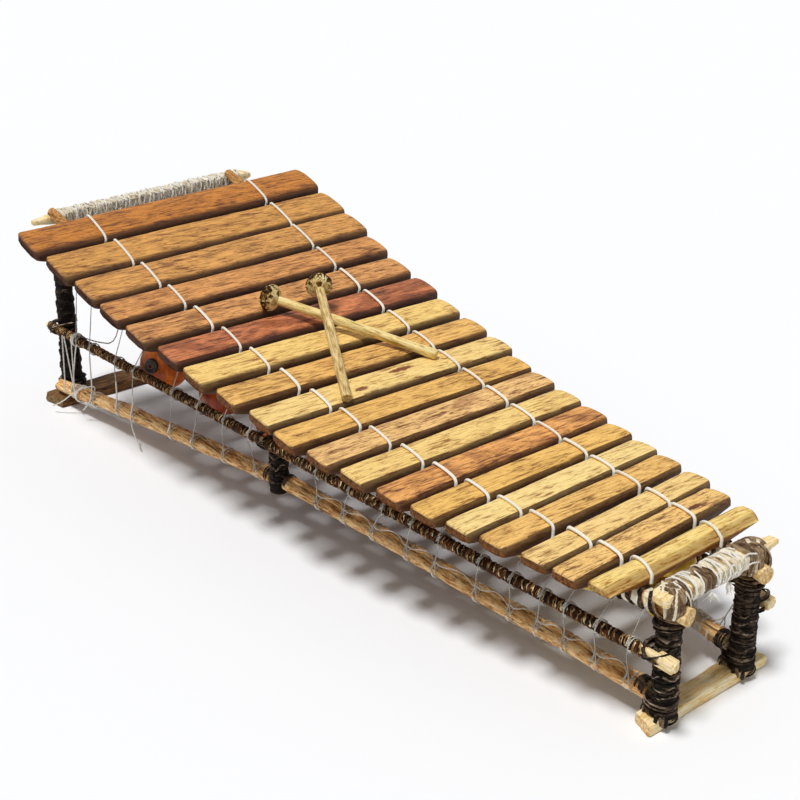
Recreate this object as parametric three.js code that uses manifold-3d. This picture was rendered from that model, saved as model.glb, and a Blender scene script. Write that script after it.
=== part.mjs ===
// A balafon: nineteen lashed wooden keys on a frame of poles, with gourd resonators and two mallets.
// Millimetres. +X runs from the bass end to the treble end, +Z is up, and -Y is the front side.
import * as THREE from "three";
import { mergeVertices } from "three/addons/utils/BufferGeometryUtils.js";
import Module from "manifold-3d";

// Keys
const keyCount = 19;
const bassKeyWidth = 66;
const bassKeyLength = 460;
const middleKeyLength = 361;
const trebleKeyLength = 228;
const bassKeyThickness = 21;
const trebleKeyThickness = 16;
const keyEndChamfer = 3;
const keyEndThinLength = 26;
const bassKeyEndRise = 8;
const trebleKeyEndRise = 6;
const bassTuningDepth = 5;
const trebleTuningDepth = 3;
const keyBedStart = -470;
const keyBedRise = 125;
const keyBedFlatFrom = 300;
const bassNodalSpan = 260;
const middleNodalSpan = 196;
const trebleNodalSpan = 104;
const keyWidthShares = [
  1, 1, 0.95, 0.83, 0.83, 0.79, 0.79, 0.75, 0.73, 0.7, 0.68, 0.68, 0.67, 0.63, 0.6, 0.58, 0.55, 0.52, 0.44,
];
const keyShiftShares = [-3, -1, 1, -2, -3, 2, -2, 1, 3, -5, -3, -2, 0, 0, 0, 0, 2, -2, 0];
const keyShift = 1;

// Cord that lashes the keys
const keyCordRadius = 1.7;
const keyCordClearance = 0.5;
const keyCordLean = 9;

// Frame
const seat = 0.3;
const upperRailRadius = 9;
const upperRailOutset = 12;
const upperRailTrebleHeight = 130;
const bassPostX = -552;
const middlePostX = -61;
const treblePostX = 496;
const postRadius = 10.5;
const bassPostFootRadius = 17;
const bassPostFootHeight = 26;
const wrapThickness = 2.6;
const wrapCover = 0.5;
const wrapGap = 1.1;
const bassPostWrapPitch = 15;
const treblePostWrapPitch = 9.5;
const footFlareShare = 0.3;
const middlePostFootHeight = 38;
const railOverhang = 15;
const bassPlankWidth = 40;
const bassPlankThickness = 16;
const bassPlankReach = 186;
const treblePlankX = 493;
const treblePlankWidth = 24;
const treblePlankThickness = 14;
const treblePlankFrontReach = 84;
const treblePlankBackReach = 95;
const plankEndSlant = 7;
const plankEdge = 2;
const lowerRailRadius = 9;
const lowerRailMiddleHeight = 48;
const lowerRailTrebleHeight = 29;
const middleRailRadius = 7;
const middleRailBassHeight = 117;
const middleRailMiddleHeight = 112;
const middleRailTrebleHeight = 88;
const middleRailOverhang = 13;
const barWidth = 22;
const barThickness = 15;
const barEdge = 3;
const bassBarFrontReach = 173;
const bassBarBackReach = 190;
const trebleBarFrontReach = 80;
const trebleBarBackReach = 93;
const bassBarWrapPitch = 16;
const trebleBarWrapPitch = 11;

// Gourds
const firstGourdKey = 3;
const firstBackGourdKey = 8;
const bassGourdRadius = 34;
const trebleGourdRadius = 17;
const gourdWall = 3.5;
const gourdMouthDrop = 9;
const gourdLean = 0.15;
const gourdNeckShare = 0.6;
const gourdSlimShare = 0.7;
const gourdPostClearance = 2;
const bassGourdInset = 31;
const trebleGourdInset = 36;
const bassGourdRise = -1;
const middleGourdRise = 5;
const trebleGourdRise = 22;
const gourdTieRadius = 1.2;
const gourdTieDrop = 5;
const gourdTieOffset = 6;
const gourdTieLead = 3;

// Side lacing
const lacingRadius = 0.8;
const lacingClearance = 0.4;
const lacingRunInset = 15.5;
const lacingRunDrop = 6.5;

// Mallets
const malletLength = 230;
const malletStickRadius = 6.3;
const malletHeadRadius = 17.5;
const malletHeadHalfLength = 13;
const malletTipEdge = 1.5;
const malletBoreDepth = 15;
const malletCrossingX = -129.5;
const malletCrossingY = 7.4;
const lowerMalletHeading = 0.525;
const lowerMalletCrossShare = 0.324;
const upperMalletHeading = 2.652;
const upperMalletCrossShare = 0.771;

// Facets
const roundSides = 8;
const wrapSides = 8;
const cordSides = 4;
const lacingSides = 3;
const gourdSides = 10;
const malletSides = 12;
const railSteps = 20;
const settlePasses = 6;
const ridgeSteps = 4;

const wasm = await Module();
wasm.setup();

const balafon = new THREE.Group();
balafon.name = "balafon";

const finishes = {
  darkKey: new THREE.MeshStandardMaterial({ color: 0x8a5634, roughness: 0.5, metalness: 0 }),
  redKey: new THREE.MeshStandardMaterial({ color: 0x6e3a2a, roughness: 0.5, metalness: 0 }),
  goldKey: new THREE.MeshStandardMaterial({ color: 0xc38a48, roughness: 0.48, metalness: 0 }),
  paleKey: new THREE.MeshStandardMaterial({ color: 0xe0bb6b, roughness: 0.5, metalness: 0 }),
  pole: new THREE.MeshStandardMaterial({ color: 0xb5854c, roughness: 0.65, metalness: 0 }),
  paleWood: new THREE.MeshStandardMaterial({ color: 0xe3c486, roughness: 0.7, metalness: 0 }),
  bark: new THREE.MeshStandardMaterial({ color: 0x3a2b20, roughness: 0.85, metalness: 0 }),
  raffia: new THREE.MeshStandardMaterial({ color: 0xb9a994, roughness: 0.85, metalness: 0 }),
  cord: new THREE.MeshStandardMaterial({ color: 0xf1ece0, roughness: 0.8, metalness: 0 }),
  gourd: new THREE.MeshStandardMaterial({ color: 0xa8521c, roughness: 0.45, metalness: 0 }),
  rubber: new THREE.MeshStandardMaterial({ color: 0x7a5a2e, roughness: 0.8, metalness: 0 }),
};

// Adds one named piece to the balafon.
function place(name, geometry, finish) {
  const mesh = new THREE.Mesh(geometry, finishes[finish].clone());
  mesh.name = name;
  balafon.add(mesh);
  return mesh;
}

// A closed geometry as a solid that can be joined.
function solidOf(geometry) {
  const bare = geometry.clone();
  bare.deleteAttribute("normal");
  bare.deleteAttribute("uv");
  const merged = mergeVertices(bare);
  const vertProperties = new Float32Array(merged.attributes.position.array);
  const triVerts = new Uint32Array(merged.index.array);
  return new wasm.Manifold(new wasm.Mesh({ numProp: 3, vertProperties, triVerts }));
}

function geometryOf(solid) {
  const mesh = solid.getMesh();
  const geometry = new THREE.BufferGeometry();
  geometry.setAttribute("position", new THREE.BufferAttribute(mesh.vertProperties, 3));
  geometry.setIndex(new THREE.BufferAttribute(mesh.triVerts, 1));
  geometry.computeVertexNormals();
  return geometry;
}

function joined(first, second) {
  return geometryOf(solidOf(first).add(solidOf(second)));
}

// A path that stops exactly at the given points, so a tube bends where the points say.
class StopPath extends THREE.Curve {
  constructor(stops) {
    super();
    this.stops = stops;
  }
  getPoint(t) {
    const along = Math.min(Math.max(t, 0), 1) * (this.stops.length - 1);
    const from = Math.min(Math.floor(along), this.stops.length - 2);
    return this.stops[from].clone().lerp(this.stops[from + 1], along - from);
  }
  getPointAt(t) {
    return this.getPoint(t);
  }
  getTangentAt(t) {
    const step = 0.5 / (this.stops.length - 1);
    const after = this.getPoint(t + step);
    return after.sub(this.getPoint(t - step)).normalize();
  }
  getSpacedPoints() {
    return this.stops;
  }
}

function roundShape(radius, sides) {
  const corners = [];
  for (let i = 0; i < sides; i++) {
    const angle = (i / sides) * 2 * Math.PI;
    corners.push(new THREE.Vector2(Math.cos(angle) * radius, Math.sin(angle) * radius));
  }
  return new THREE.Shape(corners);
}

function tubeThrough(stops, radius, sides) {
  return new THREE.ExtrudeGeometry(roundShape(radius, sides), {
    steps: stops.length - 1,
    extrudePath: new StopPath(stops),
  });
}

// A turned shape about the Z axis, from a profile of [radius, height] pairs.
function turned(profile, sides) {
  const points = profile.map(([radius, height]) => new THREE.Vector2(radius, height));
  return new THREE.LatheGeometry(points, sides).rotateX(Math.PI / 2);
}

// Value of the parabola through three values at the start, middle and end.
function through(start, middle, end, share) {
  const bend = 2 * (start + end - 2 * middle);
  return start + (end - start - bend) * share + bend * share * share;
}

function mix(start, end, share) {
  return start + (end - start) * share;
}

// Layout of the key bed
const keyGap = 2 * (keyCordRadius + keyCordClearance);
const keyWidths = keyWidthShares.map((share) => share * bassKeyWidth);
const bedSpan = keyBedFlatFrom - keyBedStart;
const bedPower = 1.8;

// Height of the upper rails' axis, which falls from the bass end and runs level at the treble end.
function railHeight(x) {
  const share = Math.max(keyBedFlatFrom - x, 0) / bedSpan;
  return upperRailTrebleHeight + keyBedRise * Math.pow(share, bedPower);
}

function railSlope(x) {
  const share = Math.max(keyBedFlatFrom - x, 0) / bedSpan;
  return (-keyBedRise * bedPower * Math.pow(share, bedPower - 1)) / bedSpan;
}

const keyPlaces = [keyBedStart];
for (let i = 1; i < keyCount; i++) {
  const spacing = (keyWidths[i - 1] + keyWidths[i]) / 2 + keyGap;
  const before = keyPlaces[i - 1];
  const slope = railSlope(before + spacing / 2);
  keyPlaces.push(before + spacing / Math.hypot(1, slope));
}
const bedLength = keyPlaces[keyCount - 1] - keyBedStart;

function bedShare(x) {
  return (x - keyBedStart) / bedLength;
}

function nodalReach(x) {
  return through(bassNodalSpan, middleNodalSpan, trebleNodalSpan, bedShare(x)) / 2;
}

function railReach(x) {
  return nodalReach(x) + upperRailOutset;
}

// One key: its size, its place on the rails and the outline of its section.
function keyAt(i) {
  const share = i / (keyCount - 1);
  const x = keyPlaces[i];
  const slope = railSlope(x);
  const lift = upperRailRadius + seat;
  const turn = Math.atan(slope);
  return {
    x: x - Math.sin(turn) * lift,
    z: railHeight(x) + Math.cos(turn) * lift,
    y: keyShiftShares[i] * keyShift,
    turn,
    width: keyWidths[i],
    length: through(bassKeyLength, middleKeyLength, trebleKeyLength, share),
    thickness: mix(bassKeyThickness, trebleKeyThickness, share),
    tuning: mix(bassTuningDepth, trebleTuningDepth, share),
    endRise: mix(bassKeyEndRise, trebleKeyEndRise, share),
    nodal: nodalReach(x),
  };
}

// Shares of the key's width and thickness, from the left edge over the domed top.
const topShares = [
  [-0.5, 0.64],
  [-0.34, 0.92],
  [0, 1],
  [0.34, 0.92],
  [0.5, 0.64],
];
const underShares = [
  [0.47, 0],
  [0, 0.14],
  [-0.47, 0],
];

function sectionPoints(key, shares) {
  return shares.map(([across, up]) => new THREE.Vector2(across * key.width, up * key.thickness));
}

// A domed plank, thinned underneath between the two cords and towards its eased ends.
function keyGeometry(key) {
  const outline = [...sectionPoints(key, topShares), ...sectionPoints(key, underShares)];
  const half = key.length / 2;
  const ends = [half, half - keyEndChamfer, half - keyEndThinLength];
  const stations = [...ends.map((end) => -end), -key.nodal, 0, key.nodal, ...ends.reverse()];
  const steps = stations.length - 1;
  const geometry = new THREE.ExtrudeGeometry(new THREE.Shape(outline), { depth: steps, steps, bevelEnabled: false });
  const vertices = geometry.attributes.position;
  const easeShare = 1 - keyEndChamfer / key.width;
  const waist = key.thickness / 2;
  for (let i = 0; i < vertices.count; i++) {
    const station = Math.round(vertices.getZ(i));
    const isEnd = station === 0 || station === steps;
    const ease = isEnd ? easeShare : 1;
    const across = vertices.getX(i) * ease;
    const up = waist + (vertices.getY(i) - waist) * ease;
    const tuning = station === steps / 2 ? key.tuning : 0;
    const inset = half - Math.abs(stations[station]);
    const rise = key.endRise * Math.max(1 - inset / keyEndThinLength, 0);
    const thinning = vertices.getY(i) < waist / 2 ? tuning + rise : 0;
    vertices.setXYZ(i, across, up + thinning, stations[station]);
  }
  return geometry.rotateX(Math.PI / 2);
}

function makeKeys() {
  for (let i = 0; i < keyCount; i++) {
    const key = keyAt(i);
    const isDark = i < 4;
    const isRed = i === 4 || i === 5;
    const isPale = i === keyCount - 1;
    const finish = isDark ? "darkKey" : isRed ? "redKey" : isPale ? "paleKey" : "goldKey";
    const mesh = place("key_" + twoDigits(i + 1), keyGeometry(key), finish);
    mesh.position.set(key.x, key.y, key.z);
    mesh.rotation.y = -key.turn;
  }
}

function twoDigits(number) {
  return String(number).padStart(2, "0");
}

// Shares of half a turn at which a key cord bends on its way round the upper rail.
const loopTurnShares = [4 / 9, 1 / 9, -2 / 9, -5 / 9, -8 / 9];

// A point of a key's section in the frame's X and Z.
function onKey(key, across, up) {
  const x = key.x + Math.cos(key.turn) * across - Math.sin(key.turn) * up;
  const z = key.z + Math.sin(key.turn) * across + Math.cos(key.turn) * up;
  return new THREE.Vector2(x, z);
}

// The section's top outline moved outwards by a distance, so a cord lies on it.
function coverOutline(key, distance) {
  const top = sectionPoints(key, topShares);
  const low = top[0].y / 2;
  const line = [new THREE.Vector2(top[0].x, low), ...top, new THREE.Vector2(top[4].x, low)];
  return line.map((point, i) => {
    const before = line[Math.max(i - 1, 0)];
    const after = line[Math.min(i + 1, line.length - 1)];
    const first = point.clone().sub(before).normalize();
    const second = after.clone().sub(point).normalize();
    if (i === 0) first.copy(second);
    if (i === line.length - 1) second.copy(first);
    const out = new THREE.Vector2(-first.y - second.y, first.x + second.x).normalize();
    const spread = Math.sqrt((1 + first.dot(second)) / 2);
    return point.clone().addScaledVector(out, distance / spread);
  });
}

// The cord on one side: over each key, then round the upper rail in the gap before the next key.
// It leans the same way on both sides, so the back cord goes round its rail the other way about.
function keyCordStops(side) {
  const stops = [];
  const reach = keyCordRadius + keyCordClearance;
  const loopTurns = loopTurnShares.map((share) => share * Math.PI);
  if (side > 0) loopTurns.reverse();
  const halfTurn = (loopTurns[0] - loopTurns[1]) / 2;
  const loopRadius = (upperRailRadius + reach) / Math.cos(halfTurn);
  for (let i = 0; i < keyCount; i++) {
    const key = keyAt(i);
    const outline = coverOutline(key, reach);
    outline.forEach((point, k) => {
      const spot = onKey(key, point.x, point.y);
      const lean = keyCordLean * (k / (outline.length - 1) - 0.5);
      stops.push(new THREE.Vector3(spot.x, side * key.nodal - lean, spot.y));
    });
    if (i === keyCount - 1) break;
    const loopX = onKey(key, outline[outline.length - 1].x, 0).x;
    for (const turn of loopTurns) {
      const y = railReach(loopX) + Math.cos(turn) * loopRadius;
      const z = railHeight(loopX) + Math.sin(turn) * loopRadius;
      stops.push(new THREE.Vector3(loopX, side * y, z));
    }
  }
  return stops;
}

function makeKeyCords() {
  place("key_cord_front", tubeThrough(keyCordStops(-1), keyCordRadius, cordSides), "cord");
  place("key_cord_back", tubeThrough(keyCordStops(1), keyCordRadius, cordSides), "cord");
}

// Corners of a round section, moved outwards by a distance.
function roundOutline(radius) {
  return (distance) => roundShape(radius + distance, wrapSides).getPoints().slice(0, wrapSides);
}

// Corners of a flat stick's section with cut edges, moved outwards by a distance.
function stickOutline(width, thickness, edge) {
  return (distance) => {
    const x = width / 2 + distance;
    const y = thickness / 2 + distance;
    const corners = [
      [x, edge - y],
      [x, y - edge],
      [x - edge, y],
      [edge - x, y],
      [-x, y - edge],
      [-x, edge - y],
      [edge - x, -y],
      [x - edge, -y],
    ];
    return corners.map(([across, up]) => new THREE.Vector2(across, up));
  };
}

const leastGaps = [];

// A strip wound round a stick along Z in even turns, as one unbroken body that starts at z 0.
function wrapGeometry(outline, pitch, turns) {
  const inner = outline(wrapCover);
  const outer = outline(wrapCover + wrapThickness);
  const sides = inner.length;
  const strip = pitch - wrapGap;
  const edge = wrapThickness / 3;
  const last = turns * sides;
  const points = [];
  const add = (corner, z) => points.push(corner.x, corner.y, z) / 3 - 1;
  const rows = [];
  for (let s = 0; s <= last + sides; s++) {
    const z = (pitch * s) / sides;
    const row = [add(inner[s % sides], z)];
    if (s <= last) {
      row.push(add(outer[s % sides], z + edge));
      row.push(add(outer[s % sides], z + strip - edge));
      row.push(add(inner[s % sides], z + strip));
    }
    rows.push(row);
  }
  const column = (s) => [...rows[s], rows[s + sides][0]];
  const faces = [];
  for (let s = 0; s < last; s++) {
    const near = column(s);
    const far = column(s + 1);
    for (let k = 0; k < near.length - 1; k++) {
      faces.push(near[k], far[k], near[k + 1], far[k], far[k + 1], near[k + 1]);
    }
  }
  closeWrap(faces, rows, column(0), 0, sides, points.push(0, 0, pitch / 2) / 3 - 1, false);
  closeWrap(faces, rows, column(last), last, sides, points.push(0, 0, pitch * (turns + 0.5)) / 3 - 1, true);
  leastGaps.push(leastTurnGap(points, rows, sides, last));
  const geometry = new THREE.BufferGeometry();
  geometry.setAttribute("position", new THREE.Float32BufferAttribute(points, 3));
  geometry.setIndex(faces);
  return geometry;
}

// Closes one end of a winding with a fan over its first or last turn.
function closeWrap(faces, rows, column, from, sides, centre, isTop) {
  const rim = [];
  for (let s = from; s <= from + sides; s++) rim.push(rows[s][0]);
  rim.push(...column.slice(1, -1).reverse());
  for (let i = 0; i < rim.length; i++) {
    const next = rim[(i + 1) % rim.length];
    if (isTop) faces.push(centre, rim[i], next);
    else faces.push(centre, next, rim[i]);
  }
}

// The least distance between the strip's edges on neighbouring turns, measured on its points.
function leastTurnGap(points, rows, sides, last) {
  const at = (index) => new THREE.Vector3().fromArray(points, index * 3);
  let least = Infinity;
  for (let s = 0; s + sides <= last; s++) {
    least = Math.min(least, at(rows[s][3]).distanceTo(at(rows[s + sides][0])));
    least = Math.min(least, at(rows[s][2]).distanceTo(at(rows[s + sides][1])));
  }
  return least;
}

// Places in the frame that several pieces share
const wrappedPostRadius = postRadius + wrapCover + wrapThickness;
const middleRailSeatReach = wrappedPostRadius + seat + middleRailRadius;
const lowerRailSeatReach = wrappedPostRadius + seat + lowerRailRadius;
const upperRailEnds = [bassPostX - railOverhang, treblePostX + railOverhang];

// Underside of the upper rail over a post, at the low edge of the post's top.
function postTop(x) {
  const lowX = x + postRadius;
  return railHeight(lowX) - upperRailRadius / Math.cos(Math.atan(railSlope(lowX))) - seat;
}

function post(name, x, side, bottom, pitch, footRadius = postRadius, footHeight = pitch / 2) {
  const height = postTop(x) - bottom;
  const profile = [
    [0, 0],
    [footRadius, 0],
    [mix(postRadius, footRadius, footFlareShare), footHeight / 2],
    [postRadius, footHeight],
    [postRadius, height],
    [0, height],
  ];
  const turns = Math.floor((height - footHeight - seat) / pitch) - 1;
  const wrapStart = height - (turns + 1) * pitch - seat;
  const wrap = wrapGeometry(roundOutline(postRadius), pitch, turns).translate(0, 0, wrapStart);
  const mesh = place(name, joined(turned(profile, wrapSides), wrap), "bark");
  mesh.position.set(x, side * railReach(x), bottom);
}

function makePosts() {
  const bassBottom = bassPlankThickness + seat;
  const trebleBottom = treblePlankThickness + seat;
  const foot = [bassPostFootRadius, bassPostFootHeight];
  for (const side of [-1, 1]) {
    const label = side < 0 ? "front" : "back";
    post("post_bass_" + label, bassPostX, side, bassBottom, bassPostWrapPitch, ...foot);
    post("post_middle_" + label, middlePostX, side, middlePostFootHeight, bassPostWrapPitch);
    post("post_treble_" + label, treblePostX, side, trebleBottom, treblePostWrapPitch);
  }
}

function upperRailStops(side) {
  const stops = [];
  for (let i = 0; i <= railSteps; i++) {
    const x = mix(upperRailEnds[0], upperRailEnds[1], i / railSteps);
    stops.push(new THREE.Vector3(x, side * railReach(x), railHeight(x)));
  }
  return stops;
}

// The middle rail lies against the outer side of the three posts.
function middleRailReach(x) {
  const isBassHalf = x < middlePostX;
  const from = isBassHalf ? bassPostX : middlePostX;
  const to = isBassHalf ? middlePostX : treblePostX;
  return mix(railReach(from), railReach(to), (x - from) / (to - from)) + middleRailSeatReach;
}

function middleRailHeight(x) {
  if (x < middlePostX) {
    return mix(middleRailBassHeight, middleRailMiddleHeight, (x - bassPostX) / (middlePostX - bassPostX));
  }
  return mix(middleRailMiddleHeight, middleRailTrebleHeight, (x - middlePostX) / (treblePostX - middlePostX));
}

function middleRailStops(side) {
  const ends = wrappedPostRadius + middleRailOverhang;
  const places = [bassPostX - ends, bassPostX, middlePostX, treblePostX, treblePostX + ends];
  return places.map((x) => new THREE.Vector3(x, side * middleRailReach(x), middleRailHeight(x)));
}

// A lower rail's axis, from its outer end to the middle post. The bass half passes the outer side of
// the bass post on the plank, and the treble half butts against the treble post.
function lowerRailEnds(isBass) {
  const away = isBass ? -1 : 1;
  const outerX = isBass ? bassPostX - bassPlankWidth / 2 : treblePostX;
  const outerZ = isBass ? bassPlankThickness + seat + lowerRailRadius : lowerRailTrebleHeight;
  const rise = (lowerRailMiddleHeight - outerZ) / Math.abs(middlePostX - outerX);
  const butt = wrappedPostRadius + seat + lowerRailRadius * Math.abs(rise);
  const innerX = middlePostX + away * butt;
  const inner = new THREE.Vector3(innerX, railReach(middlePostX), lowerRailMiddleHeight);
  if (!isBass) return [new THREE.Vector3(outerX - butt, railReach(treblePostX), outerZ), inner];
  const lean = (railReach(bassPostX) + lowerRailSeatReach - inner.y) / (innerX - bassPostX);
  const postReach = railReach(bassPostX) + lowerRailSeatReach * Math.hypot(1, lean);
  const outerReach = postReach + lean * (bassPostX - outerX);
  const bottomRadius = lowerRailRadius * Math.hypot(1, rise);
  return [new THREE.Vector3(outerX, outerReach, bassPlankThickness + seat + bottomRadius), inner];
}

function lowerRailAt(x) {
  const [outer, inner] = lowerRailEnds(x < middlePostX);
  return outer.clone().lerp(inner, (x - outer.x) / (inner.x - outer.x));
}

function makeRails() {
  for (const side of [-1, 1]) {
    const label = side < 0 ? "front" : "back";
    place("upper_rail_" + label, tubeThrough(upperRailStops(side), upperRailRadius, roundSides), "pole");
    place("middle_rail_" + label, tubeThrough(middleRailStops(side), middleRailRadius, roundSides), "bark");
    for (const end of ["bass", "treble"]) {
      const stops = lowerRailEnds(end === "bass");
      stops.forEach((stop) => (stop.y *= side));
      if (end === "bass") stops.reverse();
      place("lower_rail_" + end + "_" + label, tubeThrough(stops, lowerRailRadius, roundSides), "pole");
    }
  }
}

// A ground plank, cut aslant at both ends, with eased edges.
function plankGeometry(width, thickness, frontReaches, backReach) {
  const half = width / 2 - plankEdge;
  const outline = new THREE.Shape([
    new THREE.Vector2(-half, plankEdge - frontReaches[0]),
    new THREE.Vector2(half, plankEdge - frontReaches[1]),
    new THREE.Vector2(half, backReach - plankEdge),
    new THREE.Vector2(-half, backReach - plankEdge - plankEndSlant),
  ]);
  const depth = thickness - 2 * plankEdge;
  const bevel = { depth, bevelThickness: plankEdge, bevelSize: plankEdge, bevelSegments: 1 };
  return new THREE.ExtrudeGeometry(outline, bevel).translate(0, 0, plankEdge);
}

function makePlanks() {
  const bassFront = [bassPlankReach, bassPlankReach - plankEndSlant];
  const trebleFront = [treblePlankFrontReach - plankEndSlant, treblePlankFrontReach];
  const bass = plankGeometry(bassPlankWidth, bassPlankThickness, bassFront, bassPlankReach);
  const treble = plankGeometry(treblePlankWidth, treblePlankThickness, trebleFront, treblePlankBackReach);
  place("ground_plank_bass", bass, "pole").position.x = bassPostX;
  place("ground_plank_treble", treble, "paleWood").position.x = treblePlankX;
}

// A flat stick across the frame, wound up to a given reach on both sides.
function crossbar(name, x, z, frontReach, backReach, pitch, woundReach) {
  const outline = stickOutline(barWidth, barThickness, barEdge);
  const length = frontReach + backReach;
  const stick = new THREE.ExtrudeGeometry(new THREE.Shape(outline(0)), { depth: length, bevelEnabled: false });
  const turns = Math.floor((2 * woundReach) / pitch) - 1;
  const wrapStart = frontReach - ((turns + 1) * pitch) / 2;
  const wrap = wrapGeometry(outline, pitch, turns).translate(0, 0, wrapStart);
  const mesh = place(name, joined(stick, wrap), "raffia");
  mesh.rotation.x = -Math.PI / 2;
  mesh.position.set(x, -frontReach, z);
}

// The bass bar lies under the low corners of the rails' cut ends, against the outer side of the bass
// posts, and the treble bar lies on top of the rails.
function makeCrossbars() {
  const endTurn = Math.atan(railSlope(upperRailEnds[0]));
  const cornerHeight = railHeight(upperRailEnds[0]) - Math.cos(endTurn) * upperRailRadius;
  const bassX = bassPostX - wrappedPostRadius - seat - barWidth / 2;
  const bassZ = cornerHeight - seat - barThickness / 2;
  const bassWound = railReach(bassPostX) - wrappedPostRadius - wrapThickness - wrapCover;
  const bassReaches = [bassBarFrontReach, bassBarBackReach];
  crossbar("top_crossbar_bass", bassX, bassZ, ...bassReaches, bassBarWrapPitch, bassWound);
  const highX = treblePostX - barWidth / 2 + barEdge;
  const railTop = railHeight(highX) + upperRailRadius / Math.cos(Math.atan(railSlope(highX)));
  const trebleZ = railTop + seat + barThickness / 2;
  const trebleWound = railReach(treblePostX) - upperRailRadius - wrapThickness;
  const trebleReaches = [trebleBarFrontReach, trebleBarBackReach];
  crossbar("top_crossbar_treble", treblePostX, trebleZ, ...trebleReaches, trebleBarWrapPitch, trebleWound);
}

// Shares of half a turn at the bends of a gourd's belly.
const bellyTurnShares = [-0.3, -0.13, 0.05, 0.2];

// A hollow gourd about its own centre: a round belly that narrows to an open mouth.
function gourdGeometry(radius, height) {
  const skin = (inset) => {
    const belly = radius - inset;
    const neck = radius * gourdNeckShare - inset;
    const points = bellyTurnShares.map((share) => {
      const angle = share * Math.PI;
      return [Math.cos(angle) * belly, Math.sin(angle) * belly];
    });
    const shoulder = points[points.length - 1];
    points.push([mix(shoulder[0], neck, gourdSlimShare), mix(shoulder[1], height, 0.5)]);
    points.push([neck, height]);
    return [[0, -belly], ...points];
  };
  return turned([...skin(0), ...skin(gourdWall).reverse()], gourdSides);
}

// The second side of a right-angled triangle, or -Infinity where the first is longer than the longest.
function sideOf(longest, first) {
  const square = longest * longest - first * first;
  return square < 0 ? -Infinity : Math.sqrt(square);
}

// The cord that carries a gourd: from one upper rail through both sides of the neck to the other.
function gourdTieStops(x, neckY, neckZ, neck) {
  const reach = railReach(x) - upperRailRadius - seat;
  const near = neck + gourdTieLead;
  return [
    [-reach, railHeight(x)],
    [gourdTieLead - reach, railHeight(x)],
    [neckY - near, neckZ],
    [neckY + near, neckZ],
    [reach - gourdTieLead, railHeight(x)],
    [reach, railHeight(x)],
  ].map(([y, z]) => new THREE.Vector3(x, y, z));
}

// Every second gourd hangs in the back row, and each clears the middle post. Its cord keeps to the
// side of the key on which the lacing has no run.
function makeGourds() {
  for (let number = firstGourdKey; number <= keyCount; number++) {
    const isBack = number % 2 === 0;
    if (isBack && number < firstBackGourdKey) continue;
    const side = isBack ? 1 : -1;
    const key = keyAt(number - 1);
    const x = keyPlaces[number - 1];
    const share = (number - firstGourdKey) / (keyCount - firstGourdKey);
    const radius = mix(bassGourdRadius, trebleGourdRadius, share);
    const z = middleRailHeight(x) + through(bassGourdRise, middleGourdRise, trebleGourdRise, share);
    const rowReach = railReach(x) - mix(bassGourdInset, trebleGourdInset, share);
    const postRadii = radius + gourdPostClearance + wrappedPostRadius;
    const y = Math.min(rowReach, railReach(middlePostX) - sideOf(postRadii, x - middlePostX));
    const neck = radius * gourdNeckShare;
    const tip = neck * (Math.sin(gourdLean) - railSlope(x));
    const height = (key.z - gourdMouthDrop - z - tip) / Math.cos(gourdLean);
    const shell = gourdGeometry(radius, height).rotateX(side * gourdLean).translate(x, side * y, z);
    const neckHeight = height - gourdTieDrop;
    const neckY = side * (y - Math.sin(gourdLean) * neckHeight);
    const neckZ = z + Math.cos(gourdLean) * neckHeight;
    const tieStops = gourdTieStops(x + side * gourdTieOffset, neckY, neckZ, neck);
    place("gourd_" + twoDigits(number), joined(shell, tubeThrough(tieStops, gourdTieRadius, cordSides)), "gourd");
  }
}

// The string on one side, stitched over the upper rail under each key, past the middle rail's
// outer side and round the lower rail, with its runs on the rails' inner sides.
function lacingStops(side) {
  const stops = [];
  const reach = lacingRadius + lacingClearance;
  for (let i = 0; i < keyCount; i++) {
    const x = keyPlaces[i];
    const lower = lowerRailAt(x);
    const round = lowerRailRadius + reach;
    const over = upperRailRadius + reach;
    const strand = [
      [lower.y - lacingRunInset, lower.z],
      [lower.y - round, lower.z - round],
      [lower.y + round, lower.z - round],
      [lower.y + round, lower.z + round / 2],
      [middleRailReach(x) + middleRailRadius + reach, middleRailHeight(x)],
      [railReach(x) + over, railHeight(x) + over],
      [railReach(x) - over, railHeight(x) + over],
      [railReach(x) - lacingRunInset, railHeight(x) - lacingRunDrop],
    ];
    if (i % 2 === 1) strand.reverse();
    strand.forEach(([y, z]) => stops.push(new THREE.Vector3(x, side * y, z)));
  }
  return stops;
}

function makeLacings() {
  place("side_lacing_front", tubeThrough(lacingStops(-1), lacingRadius, lacingSides), "cord");
  place("side_lacing_back", tubeThrough(lacingStops(1), lacingRadius, lacingSides), "cord");
}

// Points along the tops of all the keys in X and Z, on which a mallet can lie.
const keyRidges = [];
for (let i = 0; i < keyCount; i++) {
  const key = keyAt(i);
  const top = sectionPoints(key, topShares).map((point) => onKey(key, point.x, point.y));
  for (let step = 0; step <= ridgeSteps * (top.length - 1); step++) {
    const from = Math.min(Math.floor(step / ridgeSteps), top.length - 2);
    keyRidges.push(top[from].clone().lerp(top[from + 1], step / ridgeSteps - from));
  }
}

// The lowest height at which a ball of this radius clears the keys.
function ballHeight(x, radius) {
  const clear = radius + seat;
  const heights = keyRidges
    .filter((ridge) => Math.abs(ridge.x - x) < clear)
    .map((ridge) => ridge.y + Math.sqrt(clear * clear - (ridge.x - x) * (ridge.x - x)));
  return Math.max(...heights);
}

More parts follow.
